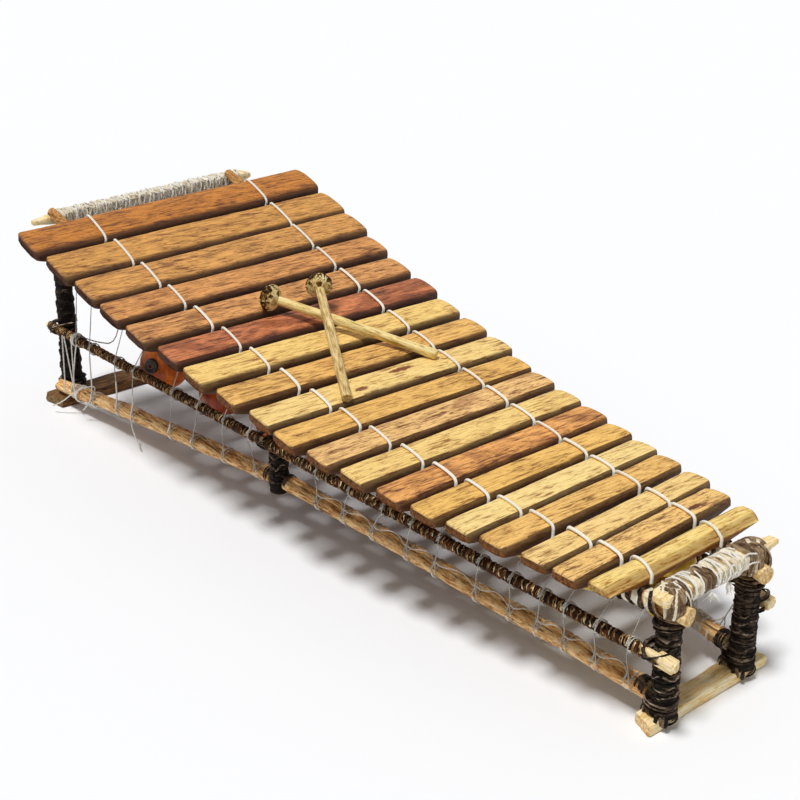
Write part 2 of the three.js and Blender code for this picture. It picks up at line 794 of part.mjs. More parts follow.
// The lowest height of a stick's tip at which the whole stick, up to its head, clears the keys.
function tipHeight(tip, head) {
  const between = keyRidges.filter((ridge) => (ridge.x - tip.x) * (ridge.x - head.x) <= 0);
  const slope = (head.z - tip.z) / (head.x - tip.x);
  const need = (malletStickRadius + seat) * Math.hypot(1, slope);
  const heights = between.map((ridge) => {
    const share = (ridge.x - tip.x) / (head.x - tip.x);
    return share > 0.5 ? -Infinity : (ridge.y + need - head.z * share) / (1 - share);
  });
  return Math.max(ballHeight(tip.x, malletStickRadius), ...heights);
}

// The far end of a mallet from one end, by its heading in plan and the rise over its length.
function farEnd(from, heading, rise) {
  const flat = Math.sqrt(malletLength * malletLength - rise * rise);
  return new THREE.Vector3(from.x + Math.cos(heading) * flat, from.y + Math.sin(heading) * flat, from.z + rise);
}

// The point in plan where a mallet starts, by the share of its length that lies before the crossing.
function malletStart(heading, crossShare) {
  const before = malletLength * crossShare;
  return [malletCrossingX - Math.cos(heading) * before, malletCrossingY - Math.sin(heading) * before];
}

function lowerMalletEnds() {
  const [x, y] = malletStart(lowerMalletHeading, lowerMalletCrossShare);
  const head = new THREE.Vector3(x, y, ballHeight(x, malletHeadRadius));
  let tip = farEnd(head, lowerMalletHeading, 0);
  for (let pass = 0; pass < settlePasses; pass++) {
    tip.z = tipHeight(tip, head);
    tip = farEnd(head, lowerMalletHeading, tip.z - head.z);
  }
  return { tip, head };
}

// The upper mallet lies on the keys at its tip and on the lower mallet's stick.
function upperMalletEnds(lower) {
  const [x, y] = malletStart(upperMalletHeading, upperMalletCrossShare);
  const tip = new THREE.Vector3(x, y, ballHeight(x, malletStickRadius));
  let head = farEnd(tip, upperMalletHeading, 0);
  const along = lower.head.clone().sub(lower.tip);
  for (let pass = 0; pass < settlePasses; pass++) {
    tip.z = tipHeight(tip, head);
    const line = head.clone().sub(tip);
    const offset = lower.tip.clone().sub(tip);
    const cross = line.x * along.y - line.y * along.x;
    const share = (offset.x * along.y - offset.y * along.x) / cross;
    const lowerShare = (offset.x * line.y - offset.y * line.x) / cross;
    const normal = line.clone().cross(along).normalize();
    const lift = (2 * malletStickRadius + seat) / Math.abs(normal.z);
    const crossingZ = lower.tip.z + along.z * lowerShare + lift;
    head = farEnd(tip, upperMalletHeading, (crossingZ - tip.z) / share);
  }
  return { tip, head };
}

// A mallet along Z, with its tip at z 0 and the middle of its head at z malletLength.
function mallet(label, ends) {
  const stickTop = malletLength - malletHeadHalfLength + malletBoreDepth;
  const stick = turned(
    [
      [0, 0],
      [malletStickRadius - malletTipEdge, 0],
      [malletStickRadius, malletTipEdge],
      [malletStickRadius, stickTop - seat],
      [0, stickTop - seat],
    ],
    malletSides,
  );
  const bore = malletStickRadius + seat;
  const rimShare = Math.sqrt(1 - Math.pow(bore / malletHeadRadius, 2));
  const arc = [-0.8, -0.45, 0, 0.45, 0.8].map((share) => {
    const swell = Math.sqrt(1 - share * share);
    return [malletHeadRadius * swell, malletLength + malletHeadHalfLength * share];
  });
  const head = turned(
    [
      [0, stickTop],
      [bore, stickTop],
      [bore, malletLength - malletHeadHalfLength * rimShare],
      ...arc,
      [0, malletLength + malletHeadHalfLength],
    ],
    malletSides,
  );
  const pointing = ends.head.clone().sub(ends.tip).normalize();
  for (const [piece, geometry, finish] of [["stick", stick, "paleWood"], ["head", head, "rubber"]]) {
    const mesh = place("mallet_" + piece + "_" + label, geometry, finish);
    mesh.quaternion.setFromUnitVectors(new THREE.Vector3(0, 0, 1), pointing);
    mesh.position.copy(ends.tip);
  }
}

function makeMallets() {
  const lower = lowerMalletEnds();
  mallet("lower", lower);
  mallet("upper", upperMalletEnds(lower));
}

makeKeys();
makeKeyCords();
makePosts();
makeRails();
makePlanks();
makeCrossbars();
makeGourds();
makeLacings();
makeMallets();

// The frame's origin is on the ground, under the middle of the whole balafon.
const bounds = new THREE.Box3().setFromObject(balafon, true);
const middle = bounds.getCenter(new THREE.Vector3());
balafon.position.set(-middle.x, -middle.y, -bounds.min.z);

console.log("least gap between turns of a winding: " + Math.min(...leastGaps).toFixed(2) + " mm");

export default balafon;
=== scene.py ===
import math
import random
import bmesh
import bpy
from mathutils import Matrix, Vector, noise


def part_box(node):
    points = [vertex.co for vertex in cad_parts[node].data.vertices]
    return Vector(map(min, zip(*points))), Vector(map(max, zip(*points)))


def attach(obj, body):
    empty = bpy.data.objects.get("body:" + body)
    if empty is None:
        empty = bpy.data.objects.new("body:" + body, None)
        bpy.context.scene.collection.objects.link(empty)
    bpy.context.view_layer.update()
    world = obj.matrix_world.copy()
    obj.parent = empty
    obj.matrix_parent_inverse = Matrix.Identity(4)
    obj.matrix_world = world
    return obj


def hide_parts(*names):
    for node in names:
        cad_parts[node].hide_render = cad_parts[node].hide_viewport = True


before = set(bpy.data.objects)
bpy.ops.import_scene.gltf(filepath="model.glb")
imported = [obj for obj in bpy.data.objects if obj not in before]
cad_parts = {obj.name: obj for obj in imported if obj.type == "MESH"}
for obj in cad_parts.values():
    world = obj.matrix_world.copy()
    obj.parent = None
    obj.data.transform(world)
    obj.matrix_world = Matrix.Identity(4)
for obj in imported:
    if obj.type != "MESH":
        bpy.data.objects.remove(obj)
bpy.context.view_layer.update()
scene = bpy.context.scene
scene.view_settings.view_transform = "Standard"
print("frame loaded")

# Places are worked out in a layout whose zero lies between the rails, and shifted onto the frame at the end.
bassPostX, middlePostX, treblePostX = -0.552, -0.061, 0.496
bothSides = ((-1, "Front"), (1, "Back"))
east, north, up = Vector((1, 0, 0)), Vector((0, 1, 0)), Vector((0, 0, 1))
plankLow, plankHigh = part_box("ground_plank_bass")
layoutShift = Vector(((plankLow.x + plankHigh.x) / 2 - bassPostX, (plankLow.y + plankHigh.y) / 2, 0))

cameraView = {"place": (1.11125, -0.88371, 0.7952), "azimuth": 50.73, "elevation": 24.47, "lens": 58.0}
cameraData = bpy.data.cameras.new("viewCamera")
cameraData.lens = cameraView["lens"]
cameraData.sensor_width = 36
camera = bpy.data.objects.new("viewCamera", cameraData)
camera.location = Vector(cameraView["place"]) + layoutShift
camera.rotation_euler = (math.radians(90 - cameraView["elevation"]), 0, math.radians(cameraView["azimuth"]))
scene.collection.objects.link(camera)
scene.camera = camera


def mix(start, end, share):
    return start + (end - start) * share


def through(start, middle, end, share):  # parabola through three values
    bend = 2 * (start + end - 2 * middle)
    return start + (end - start - bend) * share + bend * share * share


# Colours and finishes


def colour(text):
    parts = [int(text[i : i + 2], 16) / 255 for i in (1, 3, 5)]
    return [part / 12.92 if part <= 0.04045 else ((part + 0.055) / 1.055) ** 2.4 for part in parts] + [1]


def addNode(tree, kind, inputs=None, **settings):
    made = tree.nodes.new("ShaderNode" + kind)
    for key, value in settings.items():
        setattr(made, key, value)
    for key, value in (inputs or {}).items():
        if isinstance(value, bpy.types.NodeSocket):
            tree.links.new(value, made.inputs[key])
        else:
            made.inputs[key].default_value = value
    return made


def summed(tree, *parts):  # weighted sum of sockets, given as pairs of socket and weight
    total = 0.0
    for socket, weight in parts:
        total = addNode(tree, "Math", {0: socket, 1: weight, 2: total}, operation="MULTIPLY_ADD").outputs[0]
    return total


def ramp(tree, factor, stops):
    made = addNode(tree, "ValToRGB", {0: factor})
    while len(made.color_ramp.elements) < len(stops):
        made.color_ramp.elements.new(0.5)
    for element, (position, tone) in zip(made.color_ramp.elements, stops):
        element.position = position
        element.color = colour(tone) if isinstance(tone, str) else (tone, tone, tone, 1)
    return made.outputs["Color"]


def blended(tree, factor, first, second, mode="MIX"):
    made = addNode(tree, "Mix", data_type="RGBA", blend_type=mode)
    for index, value in ((0, factor), (6, first), (7, second)):
        if isinstance(value, bpy.types.NodeSocket):
            tree.links.new(value, made.inputs[index])
        else:
            made.inputs[index].default_value = colour(value) if isinstance(value, str) else value
    return made.outputs[2]


def noiseAt(tree, vector, scale, detail=3, distortion=0.0, rough=0.5):
    inputs = {"Vector": vector, "Scale": scale, "Detail": detail, "Roughness": rough, "Distortion": distortion}
    return addNode(tree, "TexNoise", inputs).outputs["Fac"]


def stretched(tree, scale, place=(0, 0, 0), turn=None):  # turned first, then scaled
    source = addNode(tree, "TexCoord").outputs["Object"]
    if turn:
        source = addNode(tree, "Mapping", {"Vector": source, "Rotation": turn}).outputs["Vector"]
    return addNode(tree, "Mapping", {"Vector": source, "Location": place, "Scale": scale}).outputs["Vector"]


def newFinish(name, rough, specular=0.5):
    finish = bpy.data.materials.new(name)
    finish.use_nodes = True
    shader = finish.node_tree.nodes["Principled BSDF"]
    shader.inputs["Roughness"].default_value = rough
    shader.inputs["Specular IOR Level"].default_value = specular
    return finish, finish.node_tree, shader


def paint(tree, shader, tone, height, strength, distance):  # gives a finish its colour and its relief
    tree.links.new(tone, shader.inputs["Base Color"])
    made = addNode(tree, "Bump", {"Height": height, "Strength": strength, "Distance": distance})
    tree.links.new(made.outputs["Normal"], shader.inputs["Normal"])


def spotShare(tree, middle, reach):  # 1 inside an uneven oval about a place, 0 outside it
    source = addNode(tree, "TexCoord").outputs["Object"]
    moved = addNode(tree, "VectorMath", {0: source, 1: tuple(middle)}, operation="SUBTRACT").outputs[0]
    shares = tuple(1 / part for part in reach)
    scaled = addNode(tree, "VectorMath", {0: moved, 1: shares}, operation="MULTIPLY").outputs[0]
    distance = addNode(tree, "VectorMath", {0: scaled}, operation="LENGTH").outputs["Value"]
    uneven = noiseAt(tree, source, 260, 4, 0.8, 0.6)
    return ramp(tree, summed(tree, (distance, 0.5), (uneven, 0.5)), [(0.55, 1.0), (0.75, 0.0)])


# Wood with its grain along one axis. Stops are dark, middle and pale; blotch is a second, darker tone in patches; edge
# is the tone of painted shade on faces that turn away from the top.
def woodFinish(
    name, dark, middle, pale, along=1, place=0.0, blotch=None, blotchShare=0.5, fleck=0.55, rough=0.65, turn=None,
    knots=(), cracks=0.0, edge=None
):
    finish, tree, shader = newFinish(name, rough, 0.3)
    offset = (place, place * 1.7, place * 0.6)

    def at(share, tilt=0.0):
        scale = [share if axis == along else 1.0 for axis in range(3)]
        return stretched(tree, scale, offset, turn or (0, 0, tilt))

    streaks = noiseAt(tree, at(0.12, 0.06), 210, 6, 1.1, 0.68)
    clouds = noiseAt(tree, at(0.4, 0.2), 30, 5, 2.2, 0.62)
    fibres = noiseAt(tree, at(0.07), 560, 3, 0.4, 0.6)
    figure = summed(tree, (streaks, 0.46), (clouds, 0.26), (fibres, 0.28))
    tone = ramp(tree, figure, [(0.415, dark), (0.485, middle), (0.56, pale)])
    if blotch:
        patches = noiseAt(tree, at(0.42, 0.12), 19, 5, 1.3, 0.62)
        share = ramp(tree, patches, [(1 - blotchShare - 0.07, 0.0), (1 - blotchShare + 0.05, 0.82)])
        tone = blended(tree, share, tone, blended(tree, 0.62, tone, blotch, "MULTIPLY"))
    flecks = noiseAt(tree, at(0.2, 0.12), 400, 3, 0.9, 0.6)
    fleckShare = ramp(tree, flecks, [(0.55, 0.0), (0.63, fleck)])
    tone = blended(tree, fleckShare, tone, blended(tree, 0.85, tone, dark, "MULTIPLY"))
    lines = noiseAt(tree, at(0.03), 420, 2, 0.3, 0.5)
    if cracks:
        tone = blended(tree, ramp(tree, lines, [(0.6, 0.0), (0.66, cracks)]), tone, "#2A160A")
    for spot, reach, shade in knots:
        tone = blended(tree, spotShare(tree, Vector(spot) + layoutShift, reach), tone, shade)
    if edge:  # painted shade: the long edges are darker, more so the more they turn away from the top, as if they lay in shade
        shadeFacing = addNode(tree, "SeparateXYZ", {0: addNode(tree, "NewGeometry").outputs["Normal"]}).outputs["Z"]
        tone = blended(tree, ramp(tree, shadeFacing, [(0.25, 0.94), (0.72, 0.8), (0.86, 0.3), (0.93, 0.0)]), tone, edge)
    height = summed(tree, (fibres, 0.5), (flecks, -0.8), (streaks, 0.6), (lines, -0.6 if cracks else -0.1))
    paint(tree, shader, tone, height, 0.55, 0.0012)
    return finish


def endGrainFinish(name, dark, pale, place=0.0):
    finish, tree, shader = newFinish(name, 0.75, 0.2)
    spots = noiseAt(tree, stretched(tree, (1, 1, 1), (place, place, place)), 320, 5, 0.6, 0.7)
    paint(tree, shader, ramp(tree, spots, [(0.36, dark), (0.62, pale)]), spots, 0.5, 0.0008)
    return finish


# Strips and bark: fine fibres run across the axis that the strip is wound about.
def stripFinish(name, dark, middle, pale, axis=2, scale=160, place=0.0, spread=0.1):
    finish, tree, shader = newFinish(name, 0.8, 0.15)
    across = [0.14, 0.14, 0.14]
    across[axis] = 3.4
    fibres = noiseAt(tree, stretched(tree, across, (place, place, place)), scale, 6, 0.5, 0.7)
    patches = noiseAt(tree, stretched(tree, (1, 1, 1), (place, 0, place)), 70, 4, 0.8, 0.65)
    share = summed(tree, (fibres, 0.55), (patches, 0.45))
    tone = ramp(tree, share, [(0.5 - spread, dark), (0.5, middle), (0.5 + spread, pale)])
    paint(tree, shader, tone, fibres, 0.9, 0.0016)
    return finish


def cordFinish(name, shade, pale, rough=0.85):
    finish, tree, shader = newFinish(name, rough, 0.2)
    shader.inputs["Sheen Weight"].default_value = 0.2
    fuzz = noiseAt(tree, stretched(tree, (1, 1, 1)), 900, 3, 0.2)
    paint(tree, shader, ramp(tree, fuzz, [(0.3, shade), (0.6, pale)]), fuzz, 0.3, 0.0003)
    return finish


def gourdFinish(name, dark, middle, pale, place=0.0):
    finish, tree, shader = newFinish(name, 0.4, 0.25)
    clouds = noiseAt(tree, stretched(tree, (1, 1, 0.6), (place, place, place)), 30, 5, 1.0, 0.65)
    freckles = noiseAt(tree, stretched(tree, (1, 1, 1), (place, 0, 0)), 420, 3, 0.3)
    tone = ramp(tree, clouds, [(0.34, dark), (0.5, middle), (0.66, pale)])
    spots = ramp(tree, freckles, [(0.58, 0.0), (0.7, 0.6)])
    paint(tree, shader, blended(tree, spots, tone, dark), clouds, 0.25, 0.0015)
    return finish


# Making and placing pieces


def addPiece(name, bm, finishes, body="frame_and_keys", replacing=None, sharpAngle=45):
    bm.transform(Matrix.Translation(layoutShift))
    mesh = bpy.data.meshes.new(name)
    bm.to_mesh(mesh)
    bm.free()
    for polygon in mesh.polygons:
        polygon.use_smooth = True
    mesh.set_sharp_from_angle(angle=math.radians(sharpAngle))
    for finish in finishes:
        mesh.materials.append(finish)
    piece = bpy.data.objects.new(name, mesh)
    scene.collection.objects.link(piece)
    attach(piece, body)
    if replacing:
        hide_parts(replacing)


def roughen(bm, amount, scale, seed=0.0):
    bm.normal_update()
    moves = []
    for vert in bm.verts:
        value = noise.noise(vert.co * scale + Vector((seed, seed * 2, seed * 3)))
        moves.append((vert, vert.normal * (value * amount)))
    for vert, move in moves:
        vert.co += move


def eased(stops, passes):  # cuts the corners of an open path
    for _ in range(passes):
        cut = [stops[0]]
        for first, second in zip(stops, stops[1:]):
            cut += [first.lerp(second, 0.25), first.lerp(second, 0.75)]
        stops = cut + [stops[-1]]
    return stops


def evenly(stops, spacing):
    lengths = [0.0]
    for first, second in zip(stops, stops[1:]):
        lengths.append(lengths[-1] + (second - first).length)
    count = max(2, round(lengths[-1] / spacing))
    points, leg = [], 0
    for i in range(count + 1):
        target = lengths[-1] * i / count
        while leg < len(stops) - 2 and lengths[leg + 1] < target:
            leg += 1
        span = max(lengths[leg + 1] - lengths[leg], 1e-9)
        points.append(stops[leg].lerp(stops[leg + 1], min(max((target - lengths[leg]) / span, 0), 1)))
    return points


# A tube along points; lobes and a twist length make it a laid cord.
def sweep(points, radius, sides=10, lobes=0, twistLength=0.0, radii=None, flat=1.0):
    section = bpy.data.curves.new("section", "CURVE")
    spline = section.splines.new("POLY")
    spline.points.add(sides - 1)
    spline.use_cyclic_u = True
    for i, point in enumerate(spline.points):
        angle = 2 * math.pi * i / sides
        reach = radius * (1 + (0.16 * math.cos(lobes * angle) if lobes else 0))
        point.co = (math.cos(angle) * reach, math.sin(angle) * reach * flat, 0, 1)
    sectionHolder = bpy.data.objects.new("section", section)
    path = bpy.data.curves.new("path", "CURVE")
    path.dimensions = "3D"
    path.bevel_mode = "OBJECT"
    path.bevel_object = sectionHolder
    path.use_fill_caps = True
    spline = path.splines.new("POLY")
    spline.points.add(len(points) - 1)
    travelled = 0.0
    for i, (point, place) in enumerate(zip(spline.points, points)):
        travelled += (place - points[max(i - 1, 0)]).length
        point.co = (*place, 1)
        point.radius = radii[i] if radii else 1
        point.tilt = 2 * math.pi * travelled / twistLength if twistLength else 0
    holder = bpy.data.objects.new("path", path)
    scene.collection.objects.link(sectionHolder)
    scene.collection.objects.link(holder)
    mesh = bpy.data.meshes.new_from_object(holder.evaluated_get(bpy.context.evaluated_depsgraph_get()))
    bm = bmesh.new()
    bm.from_mesh(mesh)
    bmesh.ops.remove_doubles(bm, verts=bm.verts, dist=1e-6)
    bmesh.ops.recalc_face_normals(bm, faces=bm.faces)
    for spare in (holder, sectionHolder):
        bpy.data.objects.remove(spare)
    for spare in (path, section):
        bpy.data.curves.remove(spare)
    bpy.data.meshes.remove(mesh)
    return bm


# A laid cord along stops, with their corners eased.
def cord(stops, radius, spacing=0.0024, passes=1, twistLength=0.005, sides=6, lobes=2):
    return sweep(evenly(eased(stops, passes), spacing), radius, sides, lobes, twistLength)


def merged(parts):
    whole = bmesh.new()
    for index, part in parts:
        for face in part.faces:
            if index is not None:
                face.material_index = index
        mesh = bpy.data.meshes.new("part")
        part.to_mesh(mesh)
        part.free()
        whole.from_mesh(mesh)
        bpy.data.meshes.remove(mesh)
    return whole


def alongTo(start, end):  # turns +Z onto the line from start to end, and moves zero to start
    way = end - start
    return Matrix.Translation(start) @ way.to_track_quat("Z", "Y").to_matrix().to_4x4()


# Spins an outline about Z: once round, or along a spiral if it rises.
def turned(outline, steps, isClosed=True, turns=1.0, rise=0.0):
    bm = bmesh.new()
    verts = [bm.verts.new((reach, 0, height)) for reach, height in outline]
    edges = [bm.edges.new(pair) for pair in zip(verts, verts[1:] + verts[:isClosed])]
    bmesh.ops.spin(
        bm, geom=verts + edges, cent=(0, 0, 0), axis=(0, 0, 1), dvec=(0, 0, rise / steps), angle=2 * math.pi * turns,
        steps=steps, use_merge=not rise
    )
    if rise:
        bmesh.ops.holes_fill(bm, edges=[edge for edge in bm.edges if edge.is_boundary], sides=0)
    else:
        bmesh.ops.remove_doubles(bm, verts=bm.verts, dist=1e-5)
    bmesh.ops.recalc_face_normals(bm, faces=bm.faces)
    return bm


stripOutline = [(-0.3, 0), (0.7, 0.02), (1, 0.22), (1, 0.78), (0.7, 0.98), (-0.3, 1)]


# A flat strip wound round the line from start to end in one unbroken spiral.
def wound(start, end, radius, pitch, width, thickness, seed=0.0, box=None, stepsPerTurn=14, unruly=1.0):
    length = (end - start).length
    turns = (length - width) / pitch
    steps = max(4, round(turns * stepsPerTurn))
    outline = [(radius + thickness * out, width * up) for out, up in stripOutline]
    bm = turned(outline, steps, turns=turns, rise=turns * pitch)
    for vert in bm.verts:
        x, y, z = vert.co
        flat = math.hypot(x, y)
        spot = Vector((x / flat * 1.3, y / flat * 1.3, z / pitch * 1.1 + seed))
        swell = 1 + (noise.noise(spot) * 0.07 + noise.noise(spot * 3.7) * 0.035) * unruly
        drift = noise.noise(spot + Vector((7, 3, 1))) * pitch * 0.28 * unruly
        if box:
            cosine, sine = x / flat, y / flat
            extra = flat - radius
            x = math.copysign(abs(cosine) ** 0.45, cosine) * (box[0] + extra) * swell
            y = math.copysign(abs(sine) ** 0.45, sine) * (box[1] + extra) * swell
        else:
            x, y = x * swell, y * swell
        vert.co = (x, y, min(max(z + drift, 0), length))
    bm.transform(alongTo(start, end))
    return bm


# Rings of flat strip that bind a joint. Each ring lies about the middle in the plane of two directions.
def lashing(middle, first, second, count, size, seed, spread=0.004, tilt=0.25, flat=0.4):
    rings = []
    draw = random.Random(seed)
    side = first.cross(second).normalized()
    for k in range(count):
        offset = side * (mix(-spread, spread, (k + 0.5) / count) + draw.uniform(-0.3, 0.3) * spread / count)
        lean, grow, phase = draw.uniform(-tilt, tilt), draw.uniform(0.96, 1.1), draw.uniform(0, 6.28)
        points = []
        for j in range(25):
            angle = phase + j / 24 * 2 * math.pi
            wobble = grow * (1 + 0.05 * noise.noise(Vector((math.cos(angle) * 2, math.sin(angle) * 2, seed + k))))
            sway = side * (math.sin(angle - phase) * lean * second.length)
            points.append(middle + offset + sway + (first * math.cos(angle) + second * math.sin(angle)) * wobble)
        rings.append(sweep(points, size * draw.uniform(0.8, 1.15), sides=6, flat=flat))
    return rings


def bound(tones, *place, **settings):  # a lashing whose rings take the finishes in turn
    return [(tones[k % len(tones)], ring) for k, ring in enumerate(lashing(*place, **settings))]


# Turns about a line: from a middle, moved by an advance, in the plane of two reaches.
def coil(middle, advance, first, second, turns, stepsPerTurn=12):
    count = max(3, round(abs(turns) * stepsPerTurn))
    points = []
    for k in range(count + 1):
        angle = 2 * math.pi * turns * k / count
        points.append(middle + advance * (k / count) + first * math.cos(angle) + second * math.sin(angle))
    return points


def block(size, place, edge=0.001, cuts=0):
    bm = bmesh.new()
    bmesh.ops.create_cube(bm, size=1)
    bmesh.ops.scale(bm, vec=size, verts=bm.verts)
    if cuts:
        longest = max(size)
        bmesh.ops.subdivide_edges(
            bm, edges=[each for each in bm.edges if each.calc_length() > longest * 0.9], cuts=cuts, use_grid_fill=True
        )
    sharp = [each for each in bm.edges if each.calc_face_angle(0) > 0.5]
    bmesh.ops.bevel(bm, geom=sharp, offset=edge, segments=2, profile=0.5, affect="EDGES", material=-1)
    bmesh.ops.translate(bm, vec=place, verts=bm.verts)
    return bm


def markEnds(bm, limit=0.7):  # the faces that look along the piece take the second finish
    for face in bm.faces:
        face.material_index = 1 if abs(face.normal.y) > limit else 0


# The key bed, as it is laid out along the rails

keyBed = {
    "widthShares": [
        1, 1, 0.95, 0.83, 0.83, 0.79, 0.79, 0.75, 0.73, 0.7, 0.68, 0.68, 0.67, 0.63, 0.6, 0.58, 0.55, 0.52, 0.44
    ],
    "shifts": [-3, -1, 1, -2, -3, 2, -2, 1, 3, -5, -3, -2, 0, 0, 0, 0, 2, -2, 0],
    "width": 0.066, "start": -0.47, "rise": 0.125, "flatFrom": 0.3, "power": 1.8, "trebleHeight": 0.13,
    "railRadius": 0.009, "railOutset": 0.012, "gap": 0.0044, "seat": 0.0003, "lengths": (0.46, 0.361, 0.228),
    "nodal": (0.26, 0.196, 0.104), "thickness": (0.021, 0.016), "tuning": (0.005, 0.003), "thin": (0.008, 0.006),
    "trim": (0.0045, 0.0015),
}
keyCount = len(keyBed["widthShares"])
bedSpan = keyBed["flatFrom"] - keyBed["start"]


def railHeight(x):
    share = max(keyBed["flatFrom"] - x, 0) / bedSpan
    return keyBed["trebleHeight"] + keyBed["rise"] * share ** keyBed["power"]


def railSlope(x):
    share = max(keyBed["flatFrom"] - x, 0) / bedSpan
    return -keyBed["rise"] * keyBed["power"] * share ** (keyBed["power"] - 1) / bedSpan


keyWidths = [share * keyBed["width"] for share in keyBed["widthShares"]]
keyPlaces = [keyBed["start"]]
for i in range(1, keyCount):
    spacing = (keyWidths[i - 1] + keyWidths[i]) / 2 + keyBed["gap"]
    keyPlaces.append(keyPlaces[-1] + spacing / math.hypot(1, railSlope(keyPlaces[-1] + spacing / 2)))


def nodalReach(x):
    return through(*keyBed["nodal"], (x - keyPlaces[0]) / (keyPlaces[-1] - keyPlaces[0])) / 2


def railReach(x):
    return nodalReach(x) + keyBed["railOutset"]


keySets = [  # shift along the rails in millimetres, and turn in radians, of each key
    (0, 0), (0, -0.006), (-5, 0.006), (-7, 0), (-6, -0.006), (-5, -0.012), (-4, -0.02), (-1.5, -0.022),
    (0.5, -0.012), (-0.5, -0.012), (-1.5, 0), (-0.5, 0.002), (-1, 0.016), (-2, 0.017), (-2, 0.018), (-4, 0.024),
    (0, 0.036), (-3.5, 0.038), (-2, 0.004),
]
twist = {"from": -0.1, "to": -0.5, "rise": 0.0085, "reach": 0.23, "zero": -0.09}


def twistAt(x, y):
    share = min(max((twist["from"] - x) / (twist["from"] - twist["to"]), 0), 1)
    return twist["rise"] * share * share * (3 - 2 * share) * (y - twist["zero"]) / (twist["reach"] - twist["zero"])


def twisted(bm):
    for vert in bm.verts:
        vert.co.z += twistAt(vert.co.x, vert.co.y)
    return bm


def keyAt(i):
    share, x = i / (keyCount - 1), keyPlaces[i] + keySets[i][0] / 1000
    turn = math.atan(railSlope(x))
    lift = keyBed["railRadius"] + keyBed["seat"]
    sizes = {part: mix(*keyBed[part], share) for part in ("thickness", "tuning", "thin", "trim")}
    return {
        "x": x - math.sin(turn) * lift, "y": keyBed["shifts"][i] / 1000, "z": railHeight(x) + math.cos(turn) * lift,
        "turn": turn, "yaw": keySets[i][1], "width": keyWidths[i], "length": through(*keyBed["lengths"], share),
        "nodal": nodalReach(x), **sizes,
    }


def onKey(key, across, y, up):
    cosine, sine = math.cos(key["turn"]), math.sin(key["turn"])
    across -= (y - key["y"]) * key["yaw"]
    return Vector((key["x"] + cosine * across - sine * up, y, key["z"] + sine * across + cosine * up))


def topShare(i, share):  # height of a key's top as a share of its thickness, by the share of its half width
    if i < keyCount - 1:
        return 1 - 0.13 * abs(share) ** 2.6 - 0.3 * max(0, (share - 0.82) / 0.18) ** 1.4
    return 1 - 0.2 * max(0, -share - 0.6) / 0.4 - 0.5 * max(0, share - 0.2) / 0.8


# Keys

keyLooks = {  # dark, middle, pale, blotch, its share, fleck
    1: ("#602E10", "#B16F2B", "#D18636", "#723C1A", 0.3, 0.6),
    2: ("#72421C", "#C18A46", "#E3A657", "#815227", 0.2, 0.5),
    3: ("#70441E", "#C48C4A", "#E7A85C", "#875330", 0.2, 0.6),
    4: ("#6D3B1B", "#C4884C", "#E7A35E", "#8A4E34", 0.35, 0.6),
    5: ("#64331C", "#C78C51", "#EAA864", "#6E3F34", 0.4, 0.65),
    6: ("#552718", "#BB7044", "#DC8754", "#6A372F", 0.5, 0.5),
    7: ("#93612A", "#EFC774", "#FCD784", "#AE742F", 0.2, 0.4),
    8: ("#7C4E25", "#D5A358", "#F7C370", "#9F6C38", 0.25, 0.5),
    9: ("#92622F", "#EFCB7E", "#FBDA8D", "#AD753D", 0.22, 0.45),
    10: ("#7D4C22", "#DAA859", "#F7C46E", "#90582A", 0.35, 0.5),
    11: ("#764527", "#E5B673", "#FBCD88", "#8B4E3D", 0.4, 0.75),
    12: ("#93612B", "#EEC778", "#FBD888", "#AE773F", 0.25, 0.5),
    13: ("#66311E", "#D79751", "#F9B468", "#733730", 0.45, 0.6),
    14: ("#865823", "#E7B55F", "#F7C76F", "#9D6327", 0.3, 0.5),
    15: ("#996D32", "#F5D489", "#FCDF95", "#B48948", 0.2, 0.45),
    16: ("#825424", "#DFAE60", "#F7C674", "#9B6730", 0.3, 0.55),
    17: ("#8D5F2F", "#EEC87E", "#FCD98E", "#AC7D42", 0.25, 0.5),
    18: ("#7A4D28", "#EABC70", "#FBCF82", "#945C30", 0.35, 0.8),
    19: ("#A06C24", "#F2D07A", "#FCE090", "#B98A3C", 0.25, 0.4),
}
keyKnots = {  # middle, reach and tone of each knot; key 9's third, near-black spot is painted shade in the nick
    9: [
        ((-0.002, 0.028, 0.181), (0.0055, 0.022, 0.02), "#7C4426"),
        ((0.011, -0.043, 0.181), (0.0045, 0.012, 0.02), "#84502C"),
        # painted shade: a near-black spot over the nick cut into key 9's edge
        ((0.0255, -0.0305, 0.176), (0.0026, 0.012, 0.008), "#120804")
    ],
    18: [((0.4144, 0.0693, 0.155), (0.004, 0.014, 0.02), "#5A2C14")],
}
keyShape = {
    "insets": [0, 0.0008, 0.0022, 0.0045, 0.008, 0.013, 0.019, 0.026], "step": 0.011, "fallReach": 0.0045,
    "fall": 0.0016, "cornerReach": 0.013, "cornerRound": 0.0034, "lastThinLength": 0.062, "lastThin": 0.52,
}
nick = {"x": 0.0275, "y": -0.0305, "reach": 0.009, "depth": 0.0035}


